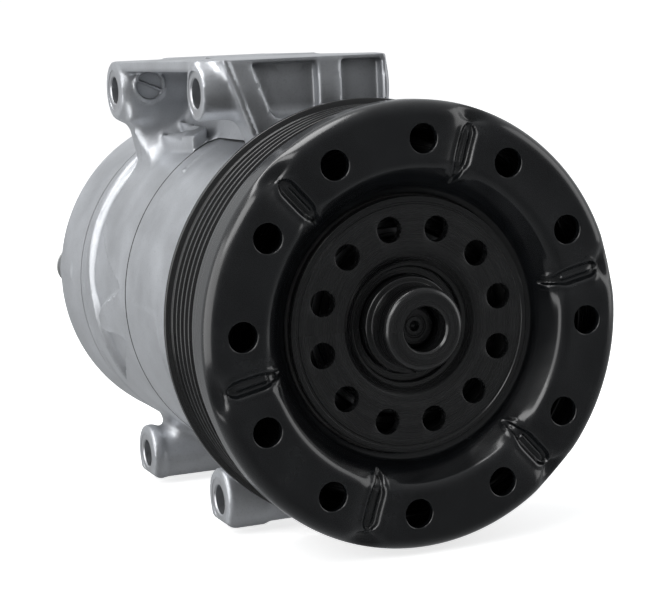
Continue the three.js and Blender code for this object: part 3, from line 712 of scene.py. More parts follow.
def belt_pulley():
    crest, floor = 0.3, 0.35     # half widths of a rib's top and a groove's floor
    rim, web, seat = 53.6, 31.5, 27.3
    profile = [(61.9, RIM_FRONT - 3.4, 0.2), (61.9, RIM_FRONT - 0.4, 0.3), (60.0, RIM_FRONT - 0.1, 0.2),
               (60.0, RIM_FRONT + 0.5, 0.2), (RIB_RADIUS, RIM_FRONT + 0.9, 0.15)]
    for groove in range(GROOVES):
        rib = FIRST_RIB + groove * GROOVE_PITCH
        root = rib + GROOVE_PITCH / 2
        profile += [(RIB_RADIUS, rib + crest, 0.3), (ROOT_RADIUS, root - floor, 0.4),
                    (ROOT_RADIUS, root + floor, 0.4), (RIB_RADIUS, root + GROOVE_PITCH / 2 - crest, 0.3)]
    last = FIRST_RIB + GROOVES * GROOVE_PITCH
    profile += [
        (RIB_RADIUS, last + 0.6, 0.2), (FLANGE_RADIUS - 0.2, PULLEY_REAR - 1.3, 0.3),
        (FLANGE_RADIUS, PULLEY_REAR, 0.4), (54.5, PULLEY_REAR, 0.8), (rim, 29.0, 2.5), (web, 29.0, 2.5),
        (31.0, 37.0, 0.5), (seat, 37.0, 0.4), (seat, 15.0, 0.4), (31.0, 15.0, 0.5), (web, 24.0, 2.5),
        (rim, 24.0, 2.5), (54.5, RIM_FRONT - 3.4, 0.6)]
    ride(lathe("belt_pulley", profile, [TURNED_COAT], 288, 15), "pulley", "black_coat", "pulley")


def hub_disc():
    ring = DISC_FRONT + 0.32
    profile = [
        (DISC_RADIUS, DISC_FRONT + 0.1, 0.45), (34.7, DISC_FRONT + 0.1, 0.12), (34.5, ring, 0.1),
        (34.1, ring, 0.1), (33.9, DISC_FRONT, 0.12), (20.0, DISC_FRONT, 2.4), (17.6, 9.3, 1.2),
        (16.5, 9.3, 0.25), (16.3, 11.0, 0.5), (14.1, 11.0, 0.3), (14.1, 13.4, 0.3), (18.9, 13.4, 1.2),
        (20.4, 9.9, 1.2), (DISC_RADIUS, 9.9, 0.4)]
    disc = lathe("hub_disc_machined", profile, [TURNED_COAT], 240, 12)
    holes = evenly(PLATE_HOLES, DISC_HOLE_CIRCLE, DISC_HOLE_ANGLE)
    combine(disc, [hole_tool(DISC_HOLE_RADIUS, DISC_FRONT, at, 0.25) for at in holes], sharp=35)
    ride(disc, "shaft", "black_coat", "hub_disc")


def hub():
    nose, flange, bore_radius, sleeve = 11.9, 13.8, 6.3, 10.2
    profile = [
        (bore_radius, NOSE_FRONT + 0.6, 0.2), (6.9, NOSE_FRONT, 0.2), (nose, NOSE_FRONT, 2.3),
        (nose, 7.5, 0.5), (flange, 7.6, 0.7), (flange, 13.4, 0.4), (sleeve, 13.4, 0.4),
        (sleeve, HUB_REAR, 0.5), (bore_radius, HUB_REAR, 0.4)]
    piece = lathe("hub_nose", profile, [TURNED_COAT], 192, 10)
    combine(piece, [bore(1.1, 4, 9.2, (0, 0.2 - flange), 24)])
    ride(piece, "shaft", "black_coat", "hub")


# ---------------------------------------------------------------- castings
VOXEL = 0.66                     # grid step of the castings' distance fields
CASTING_JOINT = 0.35             # half of the fine dark line between two castings
BODY_RADIUS = 55.1
CRANKCASE_FRONT, CRANKCASE_RADIUS = 54.0, 49.8
SLANT_OUT, SLANT_BACK = 0.72, 0.69    # which way the bevels at both ends of the barrel face
SHAFT_BORE = 11.2
MOUNT_FACE = -43.0               # where the ears and lugs start, on the left
MOUNT_BACK = 14.0                # and where they stop, on the right
MOUNT_HOLE = 4.4
EAR_RADIUS, EAR_HEIGHT = 9.6, 65.8
EAR_FRONT, EAR_REAR = 58.3, 143.6
LUG_HEIGHT, LUG_BOTTOM = -54.7, -62.4
LUG_FRONT, LUG_REAR = 55.4, 128.9
BRACKET_TOP = span("cylinder_block")[1][2]
BRACKET_FRONT, BRACKET_REAR = 49.0, 145.0
POCKET_BACK = 133.6              # the wall seen between the ears, which faces forward
REAR_FACE, PORT_FACE = 186.0, 194.0
BOLTS, BOLT_CIRCLE, BOLT_ANGLE, BOLT_HOLE = 5, 48.5, 32.0, 3.4
CYLINDERS, CYLINDER_CIRCLE, CYLINDER_ANGLE, CYLINDER_RADIUS = 5, 33.5, 68.0, 14.6
BOLT_PLACES = evenly(BOLTS, BOLT_CIRCLE, BOLT_ANGLE)
CYLINDER_PLACES = evenly(CYLINDERS, CYLINDER_CIRCLE, CYLINDER_ANGLE)
CYLINDER_ANGLES = [CYLINDER_ANGLE + 360 / CYLINDERS * k for k in range(CYLINDERS)]


def mount_cuts(y, z, end):
    """The bolt hole of an ear or lug and the shallow machined face round it."""
    return [cross_bore(MOUNT_HOLE, MOUNT_FACE, end, y, z, 0.5),
            cutter(6.7, MOUNT_FACE - 3, MOUNT_FACE + 0.12, (0, y, z), "x", 96)]


def add_lug(casting, y, collar, foot):
    """A lower lug: a bar along X with a flat foot, a collar at its left end, and a web up to the barrel."""
    z = LUG_HEIGHT
    lug = Casting(*around((MOUNT_FACE, y - 12, LUG_BOTTOM), (MOUNT_BACK + 8, y + 12, -30)), casting.voxel)
    lug.join(drum_x(y, z, 9.3, MOUNT_FACE, MOUNT_FACE + collar, 1.0), 0.5)
    lug.join(drum_x(y, z, 8.6, MOUNT_FACE + 1, MOUNT_BACK, 0.8), 2.0)
    lug.join(brick((MOUNT_FACE + 0.6, y - 7.4, LUG_BOTTOM + foot), (MOUNT_BACK, y + 7.4, z), 1.0), 1.5)
    lug.join(brick((MOUNT_FACE + 0.2, y - 7.0, LUG_BOTTOM), (MOUNT_FACE + collar, y + 7.0, z), 1.4), 1.5)
    web = [(MOUNT_FACE + 8, z - 2), (MOUNT_FACE + 11, -36), (MOUNT_BACK, -36), (MOUNT_BACK, z - 2)]
    lug.join(plank(web, y - 6.4, y + 6.4, 2.0), 5.0)
    lug.keep(brick((MOUNT_FACE, y - 30, LUG_BOTTOM), (MOUNT_BACK + 30, y + 30, 0), 0.3), 0.3)
    lug.keep(lambda x, y, z: (-61.0 - z) * 0.8 - (x - MOUNT_FACE) * 0.6, 0.8)
    casting.merge(lug, 6.0)


def front_housing():
    step, pad_front = 93.0, 70
    stop = FRONT_SEAM - CASTING_JOINT
    skin = BODY_RADIUS - 0.25
    body = Casting((-56, 38, LUG_BOTTOM), (56, FRONT_SEAM + 2, 56), VOXEL)
    body.join(drum_y(0, 0, skin, 40, stop + 2, 0.3), 0.1)
    body.keep(lambda x, y, z: (np.hypot(x, z) - 46.4) * SLANT_OUT - (y - 42) * SLANT_BACK, 4.0)
    body.keep(lambda x, y, z: 42.0 - y, 2.5)
    body.join(drum_y(0, 0, BODY_RADIUS, step, stop + 2, 0.7), 0.3)

    def low_pad(x, y, z):
        below = np.maximum(z - 0.9, -40 - z)
        raised = slab_distance(np.hypot(x, z) - skin - 0.3, y, pad_front, step, 0.2)
        return np.maximum(raised, np.maximum(below, x))
    body.join(low_pad, 0.4)
    body.join(drum_y(*on_circle(54.6, 131.5), 0.9, step - 0.8, step + 1.6, 0.5), 0.5)
    add_lug(body, LUG_FRONT, 12.5, 1.1)
    piece = body.to_object("front_housing_cast", [CAST, MACHINED])
    snout = lathe("snout", [
        (8, 15.5, 0.2), (16.6, 15.5, 0.4), (16.6, 17.5, 0.2), (17.5, 17.7, 0.2), (17.5, 39, 1.5),
        (30, 40.2, 2), (38, 44, 2), (38, 56, 0), (8, 56, 0)], [], 96)
    combine(piece, [snout], "UNION", 30, 1)
    cavity = lathe("tool", [(0, CRANKCASE_FRONT), (CRANKCASE_RADIUS, CRANKCASE_FRONT, 2.5),
                            (CRANKCASE_RADIUS, FRONT_SEAM + 1), (0, FRONT_SEAM + 1)], [], 128)
    tools = [cavity, bore(70, stop, stop + 5, segments=32), bore(SHAFT_BORE, 14, 60)]
    tools += [bore(BOLT_HOLE, 72, FRONT_SEAM + 1, at, 24) for at in BOLT_PLACES]
    combine(piece, tools + mount_cuts(LUG_FRONT, LUG_HEIGHT, 30), surface=1, sharp=32)
    ride(piece, "housing", "cast_aluminium", "front_housing")


def curve(points, steps=6):
    """A smooth line through points (Catmull-Rom)."""
    points = np.array(points, float)
    padded = np.concatenate([2 * points[:1] - points[1:2], points, 2 * points[-1:] - points[-2:-1]])
    line = []
    for a, b, c, d in zip(padded, padded[1:], padded[2:], padded[3:]):
        for t in np.arange(steps) / steps:
            line.append(0.5 * (2 * b + (c - a) * t + (2 * a - 5 * b + 4 * c - d) * t ** 2
                               + (3 * b - a - 3 * c + d) * t ** 3))
    return np.array(line + [points[-1]])


# the hollows of the barrel, as (angle, y): scalloped front walls with a cusp at each through bolt, and the
# long cove that rises to the rear flange
HOLLOW_WALLS = [
    [(118, 149.2), (124, 146), (131, 141.6), (140, 138.2), (149, 138.4), (158, 136.4), (165, 128.6),
     (171, 117.6), (174.6, 107.6)],
    [(174.6, 107.6), (177.5, 112), (180.5, 121), (184, 131), (188, 136.4), (191, 137.2), (193, 136)],
    [(193, 136), (193.4, 109.5)],
    [(193.4, 109.5), (198, 114), (205, 124), (214, 139)]]
HOLLOW_COVE = [(116, 149.2), (138, 149.2), (158, 148.6), (170, 146.2), (180, 143.6), (188, 141.6),
               (215, 140.4)]
DEPTH_STEP = 0.5                 # how finely the depths are worked out along y


def barrel_depths():
    """How deep the barrel is hollowed, over whole degrees and y, on its left side."""
    degrees = np.arange(0, 361)
    places = np.arange(FRONT_SEAM, REAR_SEAM + 1, DEPTH_STEP)
    walls = np.concatenate([curve(w) for w in HOLLOW_WALLS])
    cove = curve(HOLLOW_COVE)
    scale = np.array([math.radians(1) * 54, 1])
    spots = np.stack(np.meshgrid(degrees, places, indexing="ij"), -1)

    def distance(line):
        best = np.full(spots.shape[:2], 1e9)
        for a, b in zip(line * scale, line[1:] * scale):
            way = b - a
            length = way @ way
            if length < 1e-9:
                continue
            rel = spots * scale - a
            t = np.clip(rel @ way / length, 0, 1)
            best = np.minimum(best, np.linalg.norm(rel - t[..., None] * way, axis=-1))
        return best

    def falls(reach, away):
        return 1 - (1 - np.clip(away / reach, 0, 1)) ** 2

    front = np.interp(degrees, walls[:, 0], walls[:, 1], left=200, right=200)[:, None]
    rear = np.interp(degrees, cove[:, 0], cove[:, 1])[:, None]
    inside = (spots[..., 1] > front) & (spots[..., 1] < rear)
    deepest = 2.3 - 0.8 * np.exp(-((degrees - 176) / 9.0) ** 2)[:, None]
    from_walls = distance(walls)
    depth = deepest * falls(1.0, from_walls) * falls(2.3, distance(cove))
    lip = 0.4 * np.exp(-(from_walls / 0.9) ** 2)
    return np.where(inside, depth, 0) - lip, places


def hollow_barrel(body, start, stop):
    """The block's round wall, with its hollows repeated on the right-hand side."""
    depths, places = barrel_depths()
    cut, x, y, z = body.part(*around((-56, FRONT_SEAM - 3, -56), (56, REAR_SEAM + 2, 56), 2))
    angle = np.degrees(np.arctan2(z[:, 0, :], -np.abs(x[:, 0, :]))) % 360
    lower = np.floor(angle).astype(int)
    part = (angle - lower)[..., None]
    rows = depths[lower] * (1 - part) + depths[lower + 1] * part
    column = np.clip((y[0, :, 0] - places[0]) / DEPTH_STEP, 0, len(places) - 1.001)
    left = np.floor(column).astype(int)
    depth = rows[..., left] * (1 - (column - left)) + rows[..., left + 1] * (column - left)
    flange = 0.35 * smooth((y - 149.6) / 1.2)
    skin = np.hypot(x, z) - (BODY_RADIUS - 0.03 + flange) + depth.transpose(0, 2, 1)
    barrel = slab_distance(skin, y, start - 2, stop + 2, 0.35)
    body.field[cut] = np.minimum(body.field[cut], barrel)


def mount_bracket(bracket):
    """The top bracket: its two ears, the pocket between them, and the two pockets of its front wall."""
    foot, top, back = 38, BRACKET_TOP, MOUNT_BACK
    plate_low, wall_rear = 72.2, 146
    bracket.join(brick((-41.9, EAR_FRONT, plate_low), (back, EAR_REAR, top + 3), 1.0), 0.3)
    web = [(-15, 74), (back, 74), (back, foot), (-27, foot)]
    front_wall = [(-36.6, top), (back, top), (back, foot), (-22.6, foot)]
    rear_wall = [(-41.4, top), (back, top), (back, 56), (-40.8, 56)]
    neck = [(-39.5, 60), (back, 60), (back, foot), (-35, foot)]
    for outline, start, stop, edge, blend in (
            (web, BRACKET_FRONT + 1.5, BRACKET_REAR - 2, 1.4, 5.0), (front_wall, BRACKET_FRONT, 62, 0.8, 3.0),
            (rear_wall, POCKET_BACK, wall_rear, 1.4, 3.0), (neck, POCKET_BACK + 0.6, wall_rear, 2.0, 5.0)):
        bracket.join(plank(outline, start, stop, edge), blend)
    bracket.join(drum_x(EAR_FRONT, EAR_HEIGHT, EAR_RADIUS - 1.5, MOUNT_FACE, back, 0.7), 4.0)
    bracket.join(drum_x(EAR_REAR, EAR_HEIGHT, EAR_RADIUS, MOUNT_FACE, back, 0.9), 2.0)

    # the broad cove where the pocket's back wall meets the barrel
    def toe(x, y, z):
        rise = ((POCKET_BACK - 6 - y) + (np.hypot(x, z) - BODY_RADIUS)) * 0.707
        return np.maximum(rise, (60 - z) * 0.2 - 39.5 - x)
    bracket.join(toe, 4.0, ((-44, POCKET_BACK - 14, 34), (-20, POCKET_BACK + 2, 66)))
    bracket.join(brick((MOUNT_FACE + 0.9, EAR_FRONT, plate_low), (-20, EAR_REAR, top), 0.9), 1.2)

    # the round boss on the pocket's back wall, with a slanting ridge across it
    boss_x, boss_z = -33.7, 67.2
    bracket.join(drum_y(boss_x, boss_z, 5.5, POCKET_BACK - 1.1, POCKET_BACK + 3, 0.4), 0.6)
    bracket.cut(drum_y(boss_x, boss_z, 4.5, POCKET_BACK - 4, POCKET_BACK + 0.3, 0.2), 0.4)

    def mark(x, y, z):
        across = np.abs((x - boss_x) * 0.39 + (z - boss_z) * 0.92) - 0.35
        return np.maximum(np.maximum(across, np.hypot(x - boss_x, z - boss_z) - 4.6), POCKET_BACK - 0.5 - y)
    near_boss = (boss_x - 6, POCKET_BACK - 3, boss_z - 6), (boss_x + 6, POCKET_BACK + 2, boss_z + 6)
    bracket.join(mark, 0.3, near_boss)

    # the two pockets of the front wall, with the sloping floor they share
    for outline in ([(-28.4, 73.8), (-8.0, 73.8), (-8.0, 52), (-20.4, 52)],
                    [(-0.4, 73.9), (12.6, 73.9), (12.6, 50), (-0.4, 50)]):
        bracket.cut(plank(outline, BRACKET_FRONT - 4, BRACKET_FRONT + 3.4, 1.3), 1.2)
    bracket.join(lambda x, y, z: (y - BRACKET_FRONT - 0.3) * -0.35 + (z - 57.5) * 0.93, 3.0,
                 ((-24, BRACKET_FRONT + 0.4, 40), (12, BRACKET_FRONT + 6, 61)))
    # the rib down the left edge of the front wall, with a hollow beside it
    bracket.cut(rope((-38.6, 47.8, 75), (-33.0, 47.8, 55), 1.5), 1.8)
    bracket.join(rope((-36.6, 49.1, 75.2), (-26.2, 49.1, 47), 1.0), 0.5)
    bracket.keep(lambda x, y, z: z - top, 0.8)
    bracket.join(brick((-26, 96, 72), (11, 143, top + 0.45), 0.4), 0.5)


def shoulder_boss(start):
    """The box-shaped boss on the shoulder, with a leaf-shaped hollow behind a slanting ridge."""
    boss = Casting((-36, start, 44), (-20, 142, 58), 0.4)

    def roof(x):
        return 51.4 + 0.6 * (x + 29.6)

    def ridge(y):
        return -31.2 + (137.4 - y) * 0.18

    def spread(y):
        return np.clip((y - start) / 38, 0, 1)

    def box(x, y, z):
        sides = np.maximum(-30.0 - 1.6 * spread(y) - x, x + 25.0 - 1.7 * spread(y))
        return slab_distance(np.maximum(sides, (z - roof(x)) * 0.86), y, start, 140.2, 0.4)

    def slope(x, y, z):
        beside = x - ridge(y) + 0.7
        above = (roof(ridge(y)) + beside * 1.3 - z) * 0.6
        return np.maximum(np.maximum(beside, above), np.abs(y - 126.5) - 14)

    def leaf(x, y, z):
        outline = np.maximum(ridge(y) - x, x + 25.9 - 1.7 * spread(y))
        return np.maximum(np.maximum(outline, np.abs(y - 124) - 15.0), roof(x) - 4.4 - z)
    boss.join(box, 0.3)
    boss.cut(slope, 0.4)
    boss.cut(leaf, 0.3)
    return boss


def cylinder_block():
    start, stop = FRONT_SEAM + CASTING_JOINT, REAR_SEAM - CASTING_JOINT
    low, high = (-56, BRACKET_FRONT - 1, LUG_BOTTOM), (56, REAR_SEAM + 2, BRACKET_TOP + 1)
    body, bracket = Casting(low, high, VOXEL), Casting(low, high, VOXEL)
    hollow_barrel(body, start, stop)
    mount_bracket(bracket)
    body.merge(bracket, 4.0)
    body.merge(shoulder_boss(start), 0.8)
    add_lug(body, LUG_REAR, 3.5, 0.4)

    piece = body.to_object("cylinder_block_cast", [CAST, MACHINED])
    # clears what the bracket and its fillets leave inside the neighbouring castings
    neighbours = [bore(BODY_RADIUS + 0.35, 20, start, segments=256), bore(57, stop, 170, segments=128)]
    combine(piece, neighbours, surface=0)
    front, rear = FRONT_SEAM - 1, REAR_SEAM + 1
    tools = [bore(CYLINDER_RADIUS, front, rear, at, 72) for at in CYLINDER_PLACES]
    tools += [bore(BOLT_HOLE, front, rear, at, 24) for at in BOLT_PLACES]
    tools += mount_cuts(EAR_FRONT, EAR_HEIGHT, 16) + mount_cuts(EAR_REAR, EAR_HEIGHT, 16)
    tools += mount_cuts(LUG_REAR, LUG_HEIGHT, 30) + [bore(SHAFT_BORE, front, rear)]
    combine(piece, tools, surface=1, sharp=32)
    ride(piece, "housing", "cast_aluminium", "cylinder_block")


PORT_PAD = [[(-7, -7), (9, -9), (16, 4), (-6, 14)], [(-6, 14), (16, 4), (23, 26), (21, 42), (8, 43), (1, 34)]]
SUCTION, DISCHARGE, HOSE_STUD, RELIEF = (4, 4), (12.7, 31.5), (9.5, 18.5), (-20.5, -28.5)
VALVE_Y, VALVE_HEIGHT = 171.0, -16.0
REAR_RIBS, RIB_ANGLE = 10, 14


def rear_housing():
    start, raised = REAR_SEAM + CASTING_JOINT, REAR_FACE + 1.6
    low, high = (-57, REAR_SEAM - 2, -57), (58, PORT_FACE, 57)
    body, pad = Casting(low, high, VOXEL), Casting(low, high, VOXEL)
    body.join(cone_y((55.35, 55.6), start - 2, REAR_FACE, 0.35), 0.1)
    for x, z in BOLT_PLACES:
        body.join(drum_y(x, z, 7.4, 166, REAR_FACE, 0.8), 1.2)
    body.keep(lambda x, y, z: (np.hypot(x, z) - 53.0) * SLANT_OUT + (y - REAR_FACE) * SLANT_BACK, 3.0)
    for way in evenly(REAR_RIBS, 1, RIB_ANGLE):
        def rib(x, y, z, way=way):
            along = x * way[0] + z * way[1]
            across = z * way[0] - x * way[1]
            flat = np.maximum(np.abs(across) - 1.3, np.abs(along - 38) - 15)
            return slab_distance(flat, y, REAR_FACE - 5, raised, 0.6)
        body.join(rib, 1.6)
    body.join(drum_y(0, 0, 24, REAR_FACE - 4, raised, 1.0), 1.6)
    for outline in PORT_PAD:
        pad.join(plank(outline, REAR_FACE - 4, PORT_FACE, 0.8), 0.6)
    body.field = np.minimum(body.field, pad.field)
    body.join(drum_y(*RELIEF, 9.2, 176, REAR_FACE + 0.2, 0.5), 2.0)
    body.join(drum_x(VALVE_Y, VALVE_HEIGHT, 11.5, 21, 56.6, 1.0), 4.0)
    piece = body.to_object("rear_housing_cast", [CAST, MACHINED])
    combine(piece, [bore(70, 140, start)], surface=1)
    ring_chamber = lathe("tool", [(27, 160), (43, 160), (43, 180, 2), (27, 180, 2)], [], 128)
    tools = [bore(52.4, REAR_SEAM - 1, 161.2, segments=160), bore(24, 160, 180, segments=96), ring_chamber]
    for at in BOLT_PLACES:
        tools += [bore(BOLT_HOLE, REAR_SEAM - 1, REAR_FACE + 4, at, 24),
                  bore(7.2, REAR_FACE + 0.2, REAR_FACE + 4, at, 48)]
    for port, radius, mouth in ((SUCTION, 8.0, 9.3), (DISCHARGE, 6.0, 7.3)):
        tools += [bore(radius, 179, PORT_FACE + 1, port), bore(mouth, PORT_FACE - 1.2, PORT_FACE + 1, port)]
    tools += [bore(2.6, REAR_FACE, PORT_FACE + 1, HOSE_STUD, 32), bore(5.3, 179, REAR_FACE + 2, RELIEF, 32),
              cross_bore(8.2, 23, 58, VALVE_Y, VALVE_HEIGHT)]
    combine(piece, tools, surface=1, sharp=32)
    ride(piece, "housing", "cast_aluminium", "rear_housing")


# ---------------------------------------------------------------- joints and valve stack
SUCTION_PORTS, DISCHARGE_PORTS = 20, 38    # radii of the port circles


def stack_sheet(node, inner, outer, start, stop, slot, material, ports, slits=()):
    """A thin round sheet between the castings. Its ports are (radius of their circle, radius) pairs."""
    sheet = lathe(node + "_sheet", ring_profile(inner, outer, start, stop, 0.05), [material], 192)
    tools = [bore(BOLT_HOLE, start - 1, stop + 1, at, 24) for at in BOLT_PLACES]
    for circle, radius in ports:
        places = evenly(CYLINDERS, circle, CYLINDER_ANGLE)
        tools += [bore(radius, start - 1, stop + 1, at, 32) for at in places]
    combine(sheet, tools + list(slits))
    ride(sheet, "housing", slot, node)


def slotted(degrees, near, far, side, half, start, stop):
    """A thin box cutter or tongue along a radius, at an angle round the shaft."""
    way, across = on_circle(1, degrees), on_circle(1, degrees + 90)
    corners = [(a, y, b) for a in (near, far) for y in (start, stop) for b in (side - half, side + half)]
    points = [(a * way[0] + b * across[0], y, a * way[1] + b * across[1]) for a, y, b in corners]
    faces = np.array([(0, 1, 3, 2), (4, 6, 7, 5), (0, 4, 5, 1), (2, 3, 7, 6), (0, 2, 6, 4), (1, 5, 7, 3)])
    return tidy(mesh_object("tool", points, [faces], []))


def valve_stack():
    stack_sheet("front_gasket", CRANKCASE_RADIUS + 0.4, BODY_RADIUS + 0.05, FRONT_SEAM - 0.3,
                FRONT_SEAM + 0.3,
                "dark_steel", RUBBER, [])
    start, stop = ends("suction_reed")
    slits = [slotted(degrees, 17, 31, side, 0.3, start - 1, stop + 1)
             for degrees in CYLINDER_ANGLES for side in (-4.4, 4.4)]
    stack_sheet("suction_reed", 0.5, 52.0, start, stop, "steel", STEEL, [(DISCHARGE_PORTS, 3.2)], slits)
    for node, suction, discharge in (("valve_plate", 3.2, 2.8), ("retainer_gasket", 3.6, 3.6)):
        stack_sheet(node, 0.5, 52.0, *ends(node), "dark_steel", DARK_STEEL,
                    [(SUCTION_PORTS, suction), (DISCHARGE_PORTS, discharge)])
    start, stop = ends("discharge_reed")
    star = lathe("discharge_reed_star", ring_profile(26, 30, start, stop), [STEEL], 128)
    tongues = []
    for degrees in CYLINDER_ANGLES:
        tongues.append(slotted(degrees, 28, DISCHARGE_PORTS, 0, 3.4, start, stop))
        tongues.append(bore(4.2, start, stop, on_circle(DISCHARGE_PORTS, degrees), 40))
    combine(star, tongues, "UNION")
    ride(star, "housing", "steel", "discharge_reed")


def thread_profile(start, turns, pitch, half, crest, root):
    """The crests and roots of a screw thread, drawn as rings."""
    line = []
    for turn in range(turns):
        y = start + turn * pitch
        line += [(crest, y, 0.05), (root, y + half, 0.05)]
    return line


def through_bolts():
    """Flanged hex bolts from the rear face into the front housing, with their thread at the far end."""
    across_flats, head, top = 9.4, REAR_FACE + 2.1, ends("through_bolt_1")[1]
    profile = [(0, 74, 0), (2.4, 74, 0.4), (2.9, 75, 0.1)] + thread_profile(76, 12, 1.25, 0.62, 3.0, 2.55) + [
        (3.0, 91.5, 0.1), (3.0, REAR_FACE + 0.4, 0.1), (7.0, REAR_FACE + 0.4, 0.3),
        (7.0, REAR_FACE + 1.3, 0.4), (5.9, REAR_FACE + 2.0, 0.6), (5.6, REAR_FACE + 2.2, 0.2),
        (5.6, top - 0.5, 0.4), (4.4, top, 0.3), (3.4, top, 0.2), (3.1, top - 0.5, 0.3), (0, top - 0.5, 0)]
    for number, at in enumerate(BOLT_PLACES, 1):
        place = (at[0], 0, at[1])
        bolt = rod("through_bolt_%d_machined" % number, profile, place, "y", [ZINC], 48)
        hexagon = cutter(across_flats / math.sqrt(3), 60, top + 1, place, segments=6, sharp=20)
        combine(hexagon, [bore(9, 60, head, at, 24)], "UNION")
        combine(bolt, [hexagon], "INTERSECT", 32)
        ride(bolt, "housing", "steel", "through_bolt_%d" % number)


# ---------------------------------------------------------------- bearing, damper and seals
BEARING_FRONT, BEARING_REAR = ends("bearing_outer_ring")
BEARING_MIDDLE = (BEARING_FRONT + BEARING_REAR) / 2
BALLS, BALL_CIRCLE, BALL_RADIUS = 10, 22.4, 2.9


def bearing_ring(node, body, seat, shoulder):
    """One ring of the ball bearing, with the balls' track ground into its shoulder."""
    side = math.copysign(1, shoulder - BALL_CIRCLE)
    track, half = BALL_RADIUS + 0.5, 2.9
    arc = []
    for dy in np.linspace(half, -half, 13):
        reach = max(math.sqrt(track ** 2 - dy ** 2), abs(shoulder - BALL_CIRCLE))
        arc.append((BALL_CIRCLE + side * reach, BEARING_MIDDLE + dy))
    profile = [(seat, BEARING_FRONT, 0.6), (seat, BEARING_REAR, 0.6), (shoulder, BEARING_REAR, 0.2),
               (shoulder, BEARING_REAR - 0.3), (shoulder, BEARING_REAR - 2.2)]
    profile += arc + [(shoulder, BEARING_FRONT + 2.2), (shoulder, BEARING_FRONT, 0.2)]
    ride(lathe(node + "_ground", profile, [STEEL], 160), body, "steel", node)


def ball_cage():
    band = ring_profile(21.7, 23.1, BEARING_MIDDLE - 4.1, BEARING_MIDDLE + 4.1, 0.2, 0.2)
    cage = lathe("ball_cage_pressed", band, [ZINC])
    arc = ball_profile(BALL_RADIUS, BEARING_MIDDLE, 25)
    balls = [rod("ball", arc, (x, 0, z), "y", [ZINC], 40) for x, z in evenly(BALLS, BALL_CIRCLE, 0)]
    combine(cage, balls, "UNION")
    ride(cage, "bearing_cage", "steel", "bearing_ball_cage")


def plain_ring(node, slot, material, edge, inner):
    """A turned ring filling its node's span, its edges eased."""
    profile = ring_profile(inner, span(node)[1][0], *ends(node), edge, edge)
    ride(lathe(node + "_turned", profile, [material], 128), "housing", slot, node)


def bearing_and_seals():
    bearing_ring("bearing_inner_ring", "housing", 17.95, 20.5)
    bearing_ring("bearing_outer_ring", "pulley", 27.0, 24.2)
    ball_cage()
    for node in ("bearing_front_shield", "bearing_rear_shield"):
        front, rear = ends(node)
        middle = (front + rear) / 2
        shield = lathe(node + "_moulded", [
            (21.2, front + 0.1, 0.1), (21.8, front + 0.1, 0.1), (22.1, middle, 0.2), (22.9, middle, 0.2),
            (23.1, front, 0.1), (23.5, front, 0.1), (23.5, rear, 0.1), (21.2, rear, 0.1)], [RUBBER], 128)
        ride(shield, "pulley", "rubber", node)
    front, rear = ends("bearing_snap_ring")
    snap = lathe("snap_ring_pressed", ring_profile(16.9, 19.8, front, rear, 0.15, 0.1), [DARK_STEEL], 128)
    combine(snap, [slotted(90, 12, 24, 0, 3.0, front - 1, rear + 1)])
    ride(snap, "housing", "dark_steel", "bearing_snap_ring")
    front, rear = ends("damper_ring")
    outer, inner = span("damper_ring")[1][0], 31.6
    damper = lathe("damper_moulded", [
        (inner, front, 0.6), (outer, front, 0.6), (outer - 0.9, front + 4, 2), (outer - 0.9, rear - 4, 2),
        (outer, rear, 0.6), (inner, rear, 0.6)], [RUBBER])
    ride(damper, "pulley", "rubber", "damper_ring")
    plain_ring("front_thrust_bearing", "steel", STEEL, 0.3, 12.5)
    for node in ("front_radial_bearing", "rear_radial_bearing"):
        plain_ring(node, "steel", STEEL, 0.3, 7.8)
    plain_ring("seal_retainer", "dark_steel", DARK_STEEL, 0.2, 7.8)
    front, rear = ends("shaft_seal")
    outer = span("shaft_seal")[1][0]
    seal = lathe("shaft_seal_moulded", [
        (7.8, front + 1, 0.1), (8.6, front, 0.3), (outer, front, 0.3), (outer, rear, 0.3), (9.4, rear, 0.4),
        (9.2, front + 3.4, 0.4), (7.8, front + 2, 0.1)], [RUBBER], 96)
    ride(seal, "housing", "rubber", "shaft_seal")


# ---------------------------------------------------------------- shaft group
HINGE = (0, 76.0, 18.0)
HINGE_ARM = (12.8, 22.4)         # how high the hinge's arms start and stop
SWASH_MIDDLE = 92.0
SWASH_RADIUS = span("swash_plate")[1][0]
SWASH_HALF = 3.5


def box_piece(name, low, high, bevel=0.5, materials=()):
    """A box between two corners with bevelled edges."""
    work = bmesh.new()
    corners = {}
    for i in (0, 1):
        for j in (0, 1):
            for k in (0, 1):
                spot = to_frame([(low[0], high[0])[i], (low[1], high[1])[j], (low[2], high[2])[k]])
                corners[i, j, k] = work.verts.new(spot)
    for axis in range(3):
        for end in (0, 1):
            ring = []
            for a, b in ((0, 0), (1, 0), (1, 1), (0, 1)):
                key = [a, b]
                key.insert(axis, end)
                ring.append(corners[tuple(key)])
            work.faces.new(ring)
    bmesh.ops.recalc_face_normals(work, faces=work.faces)
    edges = list(work.edges)
    bmesh.ops.bevel(work, geom=edges, offset=bevel * MM, segments=3, profile=0.5, affect="EDGES")
    mesh = bpy.data.meshes.new(name)
    work.to_mesh(mesh)
    work.free()
    for material in materials:
        mesh.materials.append(material)
    piece = bpy.data.objects.new(name, mesh)
    bpy.context.scene.collection.objects.link(piece)
    mesh.shade_smooth()
    mesh.set_sharp_from_angle(angle=math.radians(40))
    return piece


